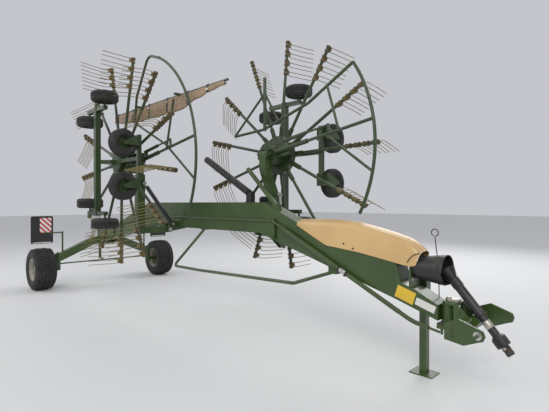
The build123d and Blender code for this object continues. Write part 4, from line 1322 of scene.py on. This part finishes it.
@dataclass
class WarningBoards(Assembly):
    """Framed boards above the road wheels: plain in front but for a striped patch, striped behind."""

    half_width: float = 0.2
    middle_y: float = 1.29
    low: float = 0.925
    high: float = 1.465
    face_x: float = -0.017
    corner: float = 0.035
    frame_radius: float = 0.009
    film_half: float = 0.0012
    film_gap: float = 0.0045

    def build(self) -> None:
        """Make both boards as one piece."""
        maker = MeshMaker()
        for side in Side:
            self.board(maker, side.value)
        self.machine.dress(maker, "warning_boards_dressed", "frame", Slot.BOARD,
                           ["black", "stripes", "white", "red", "zinc"], ["warning_boards"], 40)

    def board(self, maker: MeshMaker, side: int) -> None:
        """One board with its films, reflector and bolts.

        Args:
            maker: takes the geometry.
            side: 1 on the left, -1 on the right.
        """
        x, y, middle_z = self.face_x, side * self.middle_y, (self.low + self.high) / 2
        half_y, half_z = self.half_width, (self.high - self.low) / 2
        maker.block(self.at(x, y, middle_z), (0.003, half_y, half_z), 0.001)
        self.border(maker, y, middle_z)
        patch, whole = (self.film_half, 0.105, 0.15), (self.film_half, half_y - 0.02, half_z - 0.02)
        maker.block(self.at(x + self.film_gap, y - side * 0.065, 1.285), patch, 0.0004, 1)
        maker.block(self.at(x - self.film_gap, y, middle_z), whole, 0.0004, 1)
        maker.block(self.at(x + 0.005, y, self.low + 0.012), (0.0015, half_y - 0.03, 0.009), 0.0005, 2)
        reflector = self.at(x - 0.0055, y + side * 0.13, self.low + 0.07)
        maker.lathe([(0.032, 0.0), (0.032, 0.006), (0.027, 0.009)], reflector, -FORWARD, 24, 3, closed=False)
        for shift in (-0.04, 0.04):
            maker.bolt(self.at(x + 0.0035, y - side * 0.16, 1.13 + shift), FORWARD, 0.007, 0.005, 4)

    def border(self, maker: MeshMaker, y: float, z: float) -> None:
        """Round tube with rounded corners along a board's edge.

        Args:
            maker: takes the geometry.
            y: place of the board's middle to the left.
            z: height of the board's middle.
        """
        half_y, half_z = self.half_width, (self.high - self.low) / 2
        rings = []
        for corner_y, corner_z, first in ((1, 1, 0), (-1, 1, 1), (-1, -1, 2), (1, -1, 3)):
            for k in range(6):
                a = math.pi / 2 * (first + k / 5)
                at_y = y + corner_y * (half_y - self.corner) + self.corner * math.cos(a)
                at_z = z + corner_z * (half_z - self.corner) + self.corner * math.sin(a)
                out = Vector((0, at_y - y, at_z - z)).normalized()
                centre = self.at(self.face_x, at_y, at_z)
                rings.append([centre + out * (self.frame_radius * math.cos(b))
                              + FORWARD * (self.frame_radius * math.sin(b)) for b in circle(8)])
        maker.loft(rings, closed=True)


@dataclass
class Curtain(Assembly):
    """Tarpaulin curtain, folded up in four layers and strapped below its tube."""

    x_from: float = 1.985
    x_to: float = 5.095
    y: float = -0.655
    top: float = 3.2625
    hang: float = 3.2535
    half: float = 0.0205
    sheet: float = 0.0012
    slices: int = 260
    layer_steps: int = 8
    fold_steps: int = 6
    tube_z: float = 3.27
    strap_reach: float = 0.0225
    strap_half: float = 0.016
    strap_thick: float = 0.002
    straps: tuple[float, ...] = (2.12, 2.66, 3.2, 3.74, 4.28, 4.74)
    # Columns: place ahead of the axle, drop of the bundle below its tube
    hem: tuple[tuple[float, float], ...] = (
        (1.98, 0.112), (2.3, 0.15), (2.7, 0.192), (3.4, 0.2), (4.0, 0.2), (4.2, 0.185), (4.45, 0.112),
        (4.8, 0.066), (5.1, 0.036),
    )

    def drop(self, x: float) -> float:
        """Depth of the bundle at a place along the tube.

        Args:
            x: place ahead of the axle.

        Returns:
            The depth.
        """
        spans = zip(self.hem, self.hem[1:])
        (near, near_drop), (far, far_drop) = next(span for span in spans if x <= span[1][0])
        t = (x - near) / (far - near)
        depth = near_drop + (far_drop - near_drop) * (t * t * (3 - 2 * t))
        pinch = sum(math.exp(-((x - strap) / 0.035) ** 2) for strap in self.straps)
        return (depth + 0.004 * math.sin(x * 11.3) + 0.003 * math.sin(x * 26.0 + 1.0)) * (1 - 0.09 * pinch)

    def line(self, x: float) -> list[tuple[float, float]]:
        """The cloth's folded line in one cross section.

        Args:
            x: place ahead of the axle.

        Returns:
            Places to the left of the cloth's middle, and heights.
        """
        pinch = max(math.exp(-((x - strap) / 0.05) ** 2) for strap in self.straps)
        wide = self.half * (1 - 0.28 * pinch)
        inner = wide * 0.5
        down, up = self.hang - self.drop(x) + wide, self.top - 0.022
        # Columns: place across, height at the layer's start and at its end
        layers = [(-wide, self.top, down), (wide, down, up), (-inner, up - 0.004, down + 0.004),
                  (inner, down + 0.004, up - 0.022)]
        points: list[tuple[float, float]] = []
        for number, (across, start, finish) in enumerate(layers):
            finish = max(finish, down + 0.006) if finish > start else finish
            for k in range(self.layer_steps + 1):
                t = k / self.layer_steps
                height = start + (finish - start) * t
                billow = 0.0
                if number < 2:
                    gather = math.sin(x * 74.0 + 2.2 * math.sin(x * 6.1)) * 0.5
                    gather += math.sin(x * 31.0 - height * 38.0) * 0.9
                    swell = math.sin(math.pi * (1 - t if number else t)) * 0.0042 * (1 - 0.8 * pinch)
                    billow = gather * swell + math.copysign(swell * 0.8, across)
                points.append((across + billow, height))
            if number < 3:
                # The upper fold is flatter than the two lower ones
                points += self.fold(across, layers[number + 1][0], up if number == 1 else finish,
                                    0.55 if number == 1 else -1.0)
        return points

    def fold(self, before: float, after: float, z: float, height: float) -> list[tuple[float, float]]:
        """The half turn between two layers.

        Args:
            before: place of the first layer.
            after: place of the second layer.
            z: height where the turn starts.
            height: its height as a share of its half width, below zero where it turns at the bottom.

        Returns:
            Places and heights, point by point.
        """
        middle, reach = (before + after) / 2, abs(after - before) / 2
        points = []
        for k in range(1, self.fold_steps):
            a = math.pi * k / self.fold_steps
            points.append((middle + math.copysign(reach * math.cos(a), before - after),
                           z + reach * math.sin(a) * height))
        return points

    def build(self) -> None:
        """Make the cloth and its straps on the rear guard."""
        maker = MeshMaker()
        rings, lines = [], []
        for k in range(self.slices + 1):
            x = self.x_from + (self.x_to - self.x_from) * k / self.slices
            line = self.line(x)
            back = []
            for i, (y, z) in enumerate(line):
                (y0, z0), (y1, z1) = line[max(i - 1, 0)], line[min(i + 1, len(line) - 1)]
                length = math.hypot(y1 - y0, z1 - z0) or 1.0
                back.append((y - (z1 - z0) / length * self.sheet, z + (y1 - y0) / length * self.sheet))
            lines.append([self.at(x, self.y + y, z) for y, z in line])
            rings.append(lines[-1] + [self.at(x, self.y + y, z) for y, z in reversed(back)])
        maker.loft(rings, wall=True)
        body = self.machine.body("swath_curtain")
        cloth = self.machine.dress(maker, "curtain_cloth_dressed", body, Slot.CLOTH, ["canvas"],
                                   ["swath_curtain"], 60)
        straps = self.machine.dress(self.bands(), "curtain_straps", body, Slot.BLACK, ["black", "zinc"])
        width, length, area = self.flat(lines)
        LOG.info("curtain is cut %.2f m wide and %.2f m long, %.2f square metres", width, length, area)

    def flat(self, lines: Sequence[Sequence[Vector]]) -> tuple[float, float, float]:
        """Cut size of the cloth from its folded lines.

        Args:
            lines: the cloth's line in each cross section.

        Returns:
            Greatest width, length along the hem and flat area.
        """
        width = max(sum((b - a).length for a, b in zip(line, line[1:])) for line in lines)
        length = max(sum((far[i] - near[i]).length for near, far in zip(lines, lines[1:]))
                     for i in range(0, len(lines[0]), 4))
        area = 0.0
        for near, far in zip(lines, lines[1:]):
            for i in range(len(near) - 1):
                area += (near[i + 1] - near[i]).cross(far[i] - near[i]).length / 2
                area += (far[i + 1] - far[i]).cross(far[i + 1] - near[i + 1]).length / 2
        return width, length, area

    def bands(self) -> MeshMaker:
        """Straps with buckles, round the cloth and the tube.

        Returns:
            The geometry.
        """
        maker = MeshMaker()
        reach, wide, thick = self.strap_reach, self.strap_half, self.strap_thick
        bows = [(reach * math.cos(math.pi * k / 8), reach * math.sin(math.pi * k / 8)) for k in range(9)]
        for x in self.straps:
            low = self.hang - self.drop(x) + 0.0105
            loop = [(-c, self.tube_z + s) for c, s in bows] + [(c, low - s * 0.75) for c, s in bows]
            rings = []
            for y, z in loop:
                centre_z = self.tube_z if z > self.tube_z - 0.001 else low
                out = Vector((0, y, z - centre_z)).normalized()
                at = self.at(x, self.y + y, z)
                rings.append([at + out * t + FORWARD * w for t, w in
                              ((0, -wide), (thick, -wide), (thick, wide), (0, wide))])
            maker.loft(rings, closed=True)
            maker.block(self.at(x, self.y - reach - 0.003, 3.225), (0.02, 0.002, 0.012), 0.0008, 1)
        return maker


@dataclass
class Fittings(Assembly):
    """Bolt heads, caps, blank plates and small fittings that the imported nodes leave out."""

    cheek_y: float = 0.13
    # Columns: place ahead of the axle, height
    cheek_bolts: tuple[tuple[float, float], ...] = (
        (-0.03, 0.87), (0.06, 0.87), (-0.03, 1.085), (0.1, 1.1), (0.3, 1.0), (0.42, 1.06), (0.55, 1.11),
        (0.66, 1.12), (0.66, 1.19),
    )
    # Columns: place ahead, left and up, half the pin's length, radius of its head
    pins: tuple[tuple[float, ...], ...] = (
        (5.12, 0.184, 1.295, 0.095, 0.026), (2.95, -0.205, 1.295, 0.095, 0.026),
        (5.255, 0.207, 1.147, 0.0515, 0.016), (3.085, -0.2, 1.39, 0.0515, 0.016),
    )
    plate_slope_deg: float = 17.3
    link_y: float = 0.4
    hub_circles: tuple[float, float] = (0.3, 0.38)
    cover_circle: float = 0.145

    def build(self) -> None:
        """Make every group."""
        dress, body = self.machine.dress, self.machine.body
        dress(self.frame_bolts(), "frame_bolts", "frame", Slot.GREEN, ["green", "zinc"])
        dress(self.plates(), "blank_plates", "frame", Slot.BOARD, ["yellow", "white"])
        dress(self.head(), "headstock_fittings", body("headstock"), Slot.STEEL, ["zinc", "steel", "green"])
        dress(self.rod_clamp(), "front_rod_clamp", body("front_steer_rod"), Slot.STEEL,
              ["steel", "black", "green"])
        dress(self.hose_holder(), "hose_holder", "frame", Slot.STEEL, ["black"])
        for side in Side:
            label = side.name.lower()
            cap = MeshMaker()
            cap.bolt(self.at(0, side.value, 0.712), UP, 0.02, 0.012)
            dress(cap, f"{label}_knuckle_cap", body(f"{label}_knuckle"), Slot.GREEN, ["green"])
        for place in RotorPlace.both(self.machine):
            name = place.name
            dress(self.hub(place), f"{name}_hub_bolts", f"{name}_rotor", Slot.GREEN, ["dark_green"])
            dress(self.cover(place), f"{name}_gearbox_bolts", body(f"{name}_gearbox"), Slot.GREEN,
                  ["dark_green"])

    def frame_bolts(self) -> MeshMaker:
        """Heads on the axle's cheeks, the hinge pins, the cylinder pins and the stand's sleeve.

        Returns:
            The geometry.
        """
        maker = MeshMaker()
        for side, (x, z) in product(SIDES, self.cheek_bolts):
            maker.bolt(self.at(x, side * self.cheek_y, z), LEFT * side, 0.014, 0.011)
        for (x, y, z, half, radius), end in product(self.pins, SIDES):
            maker.bolt(self.at(x + end * half, y, z), FORWARD * end, radius, 0.01, 1)
        for z in (0.72, 0.9):
            maker.bolt(self.at(7.3, 0.2165, z), LEFT, 0.012, 0.01)
        maker.bolt(self.at(5.42, -0.144, 1.3), -LEFT, 0.017, 0.008)
        return maker

    def plates(self) -> MeshMaker:
        """Blank yellow and white plates on the neck's right face.

        Returns:
            The geometry.
        """
        maker = MeshMaker()
        turn = Matrix.Rotation(math.radians(self.plate_slope_deg), 3, "Y")
        for mark, (x, z, half_height) in enumerate(((7.235, 0.832, 0.062), (7.44, 0.762, 0.036))):
            maker.block(self.at(x, -0.1112, z), (0.1, 0.0012, half_height), 0.0005, mark, turn)
        return maker

    def head(self) -> MeshMaker:
        """Bright cap block on the headstock, collars on the link pins and bolts on its cheeks.

        Returns:
            The geometry.
        """
        maker = MeshMaker()
        maker.block(self.at(7.668, 0, 0.8335), (0.048, 0.05, 0.0125), 0.004)
        cap = [(0.027, 0.0), (0.027, 0.012), (0.021, 0.016)]
        maker.lathe(cap, self.at(7.62, 0, 0.84), UP, 28, closed=False)
        collar = [(0.0145, 0.0), (0.034, 0.0), (0.034, 0.009), (0.0145, 0.009)]
        for side in SIDES:
            out = LEFT * side
            maker.lathe(collar, self.at(8.01, side * self.link_y, 0.665), out, 32, 1)
            for x, z in ((7.745, 0.735), (7.745, 0.65), (7.82, 0.65)):
                maker.bolt(self.at(x, side * 0.09, z), out, 0.012, 0.01, 2)
            for z in (0.62, 0.665):
                maker.bolt(self.at(7.8, side * self.link_y, z), out, 0.013, 0.011, 2)
        return maker

    def rod_clamp(self) -> MeshMaker:
        """Bright sleeve and dark clamp on the long steering tube, and the tube's bent lower end.

        Returns:
            The geometry.
        """
        maker = MeshMaker()
        top, foot = self.at(5.42, -0.1523, 1.505), self.at(7.33, -0.156, 0.6)
        end = self.at(7.602, -0.162, 0.555)
        way = (foot - top).normalized()
        seat = top + way * (6.52 - 5.42) / way.x
        maker.lathe([(0.0242, -0.05), (0.0275, -0.045), (0.0275, 0.045), (0.0242, 0.05)], seat, way, 32)
        for shift in (-0.052, 0.052):
            maker.block(seat + way * shift - LEFT * 0.012, (0.008, 0.022, 0.03), 0.003, 1,
                        axes(way, LEFT, way.cross(LEFT)))
        rest = end - foot
        path = [top + way * ((foot - top).length * 0.92), foot - way * 0.075,
                foot - way * 0.036 + rest * 0.02]
        path += [foot + rest * share for share in (0.12, 0.27, 0.62)]
        maker.tube(path, 0.0215, 16, 2)
        return maker

    def hose_holder(self) -> MeshMaker:
        """Thin rod that stands on the neck and ends in a loop.

        Returns:
            The geometry.
        """
        foot, top = Vector((7.5, 0.06, 0.82)), Vector((7.46, 0.05, 1.41))
        path = [foot, foot + (top - foot) * 0.5 + FORWARD * 0.015, top]
        path += [top + Vector((0.035 * math.sin(a), 0, 0.035 - 0.035 * math.cos(a))) for a in circle(15)[1:]]
        maker = MeshMaker()
        maker.tube([self.at(*p) for p in path], 0.005, 8)
        return maker

    def hub(self, place: RotorPlace) -> MeshMaker:
        """Socket bolts on both faces of a rotor's hub.

        Args:
            place: where the rotor stands.

        Returns:
            The geometry.
        """
        up = place.at(0, 0, 1) - place.centre
        maker = MeshMaker()
        for arm in range(TineSet.arm_count):
            a = math.radians(place.arm_deg(arm))
            for r in self.hub_circles:
                maker.bolt(place.at(r * math.cos(a), r * math.sin(a), 0.032), up, 0.011, 0.008)
            a = math.radians(place.arm_deg(arm + 0.5))
            for face, w in ((1, 0.06), (-1, -0.03)):
                maker.bolt(place.at(0.245 * math.cos(a), 0.245 * math.sin(a), w), up * face, 0.012, 0.009)
        return maker

    def cover(self, place: RotorPlace) -> MeshMaker:
        """Bolts of a gearbox's cover, and the heads at its sides.

        Args:
            place: where the rotor stands.

        Returns:
            The geometry.
        """
        up, r = place.at(0, 0, 1) - place.centre, self.cover_circle
        maker = MeshMaker()
        for a in circle(10, 0.5):
            maker.bolt(place.at(r * math.cos(a), r * math.sin(a), 0.25), up, 0.011, 0.008)
        for side in SIDES:
            maker.bolt(place.at(side * 0.12, 0, 0.3), FORWARD * side, 0.02, 0.01)
        return maker


def main() -> None:
    """Dress the machine, piece by piece."""
    logging.basicConfig(level=logging.INFO, format="%(name)s: %(message)s")
    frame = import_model()
    machine = Machine(frame, PaintBox())
    assemblies: list[Assembly] = [Studio(machine), PlainNodes(machine)]
    assemblies += [RoadWheel(machine, side) for side in Side]
    assemblies += [TineSet(machine, place) for place in RotorPlace.both(machine)]
    assemblies += [kind(machine) for kind in (SmallWheels, Hood, DriveLine, WarningBoards, Curtain, Fittings)]
    for assembly in assemblies:
        assembly.build()


if __name__ == "__main__":
    main()
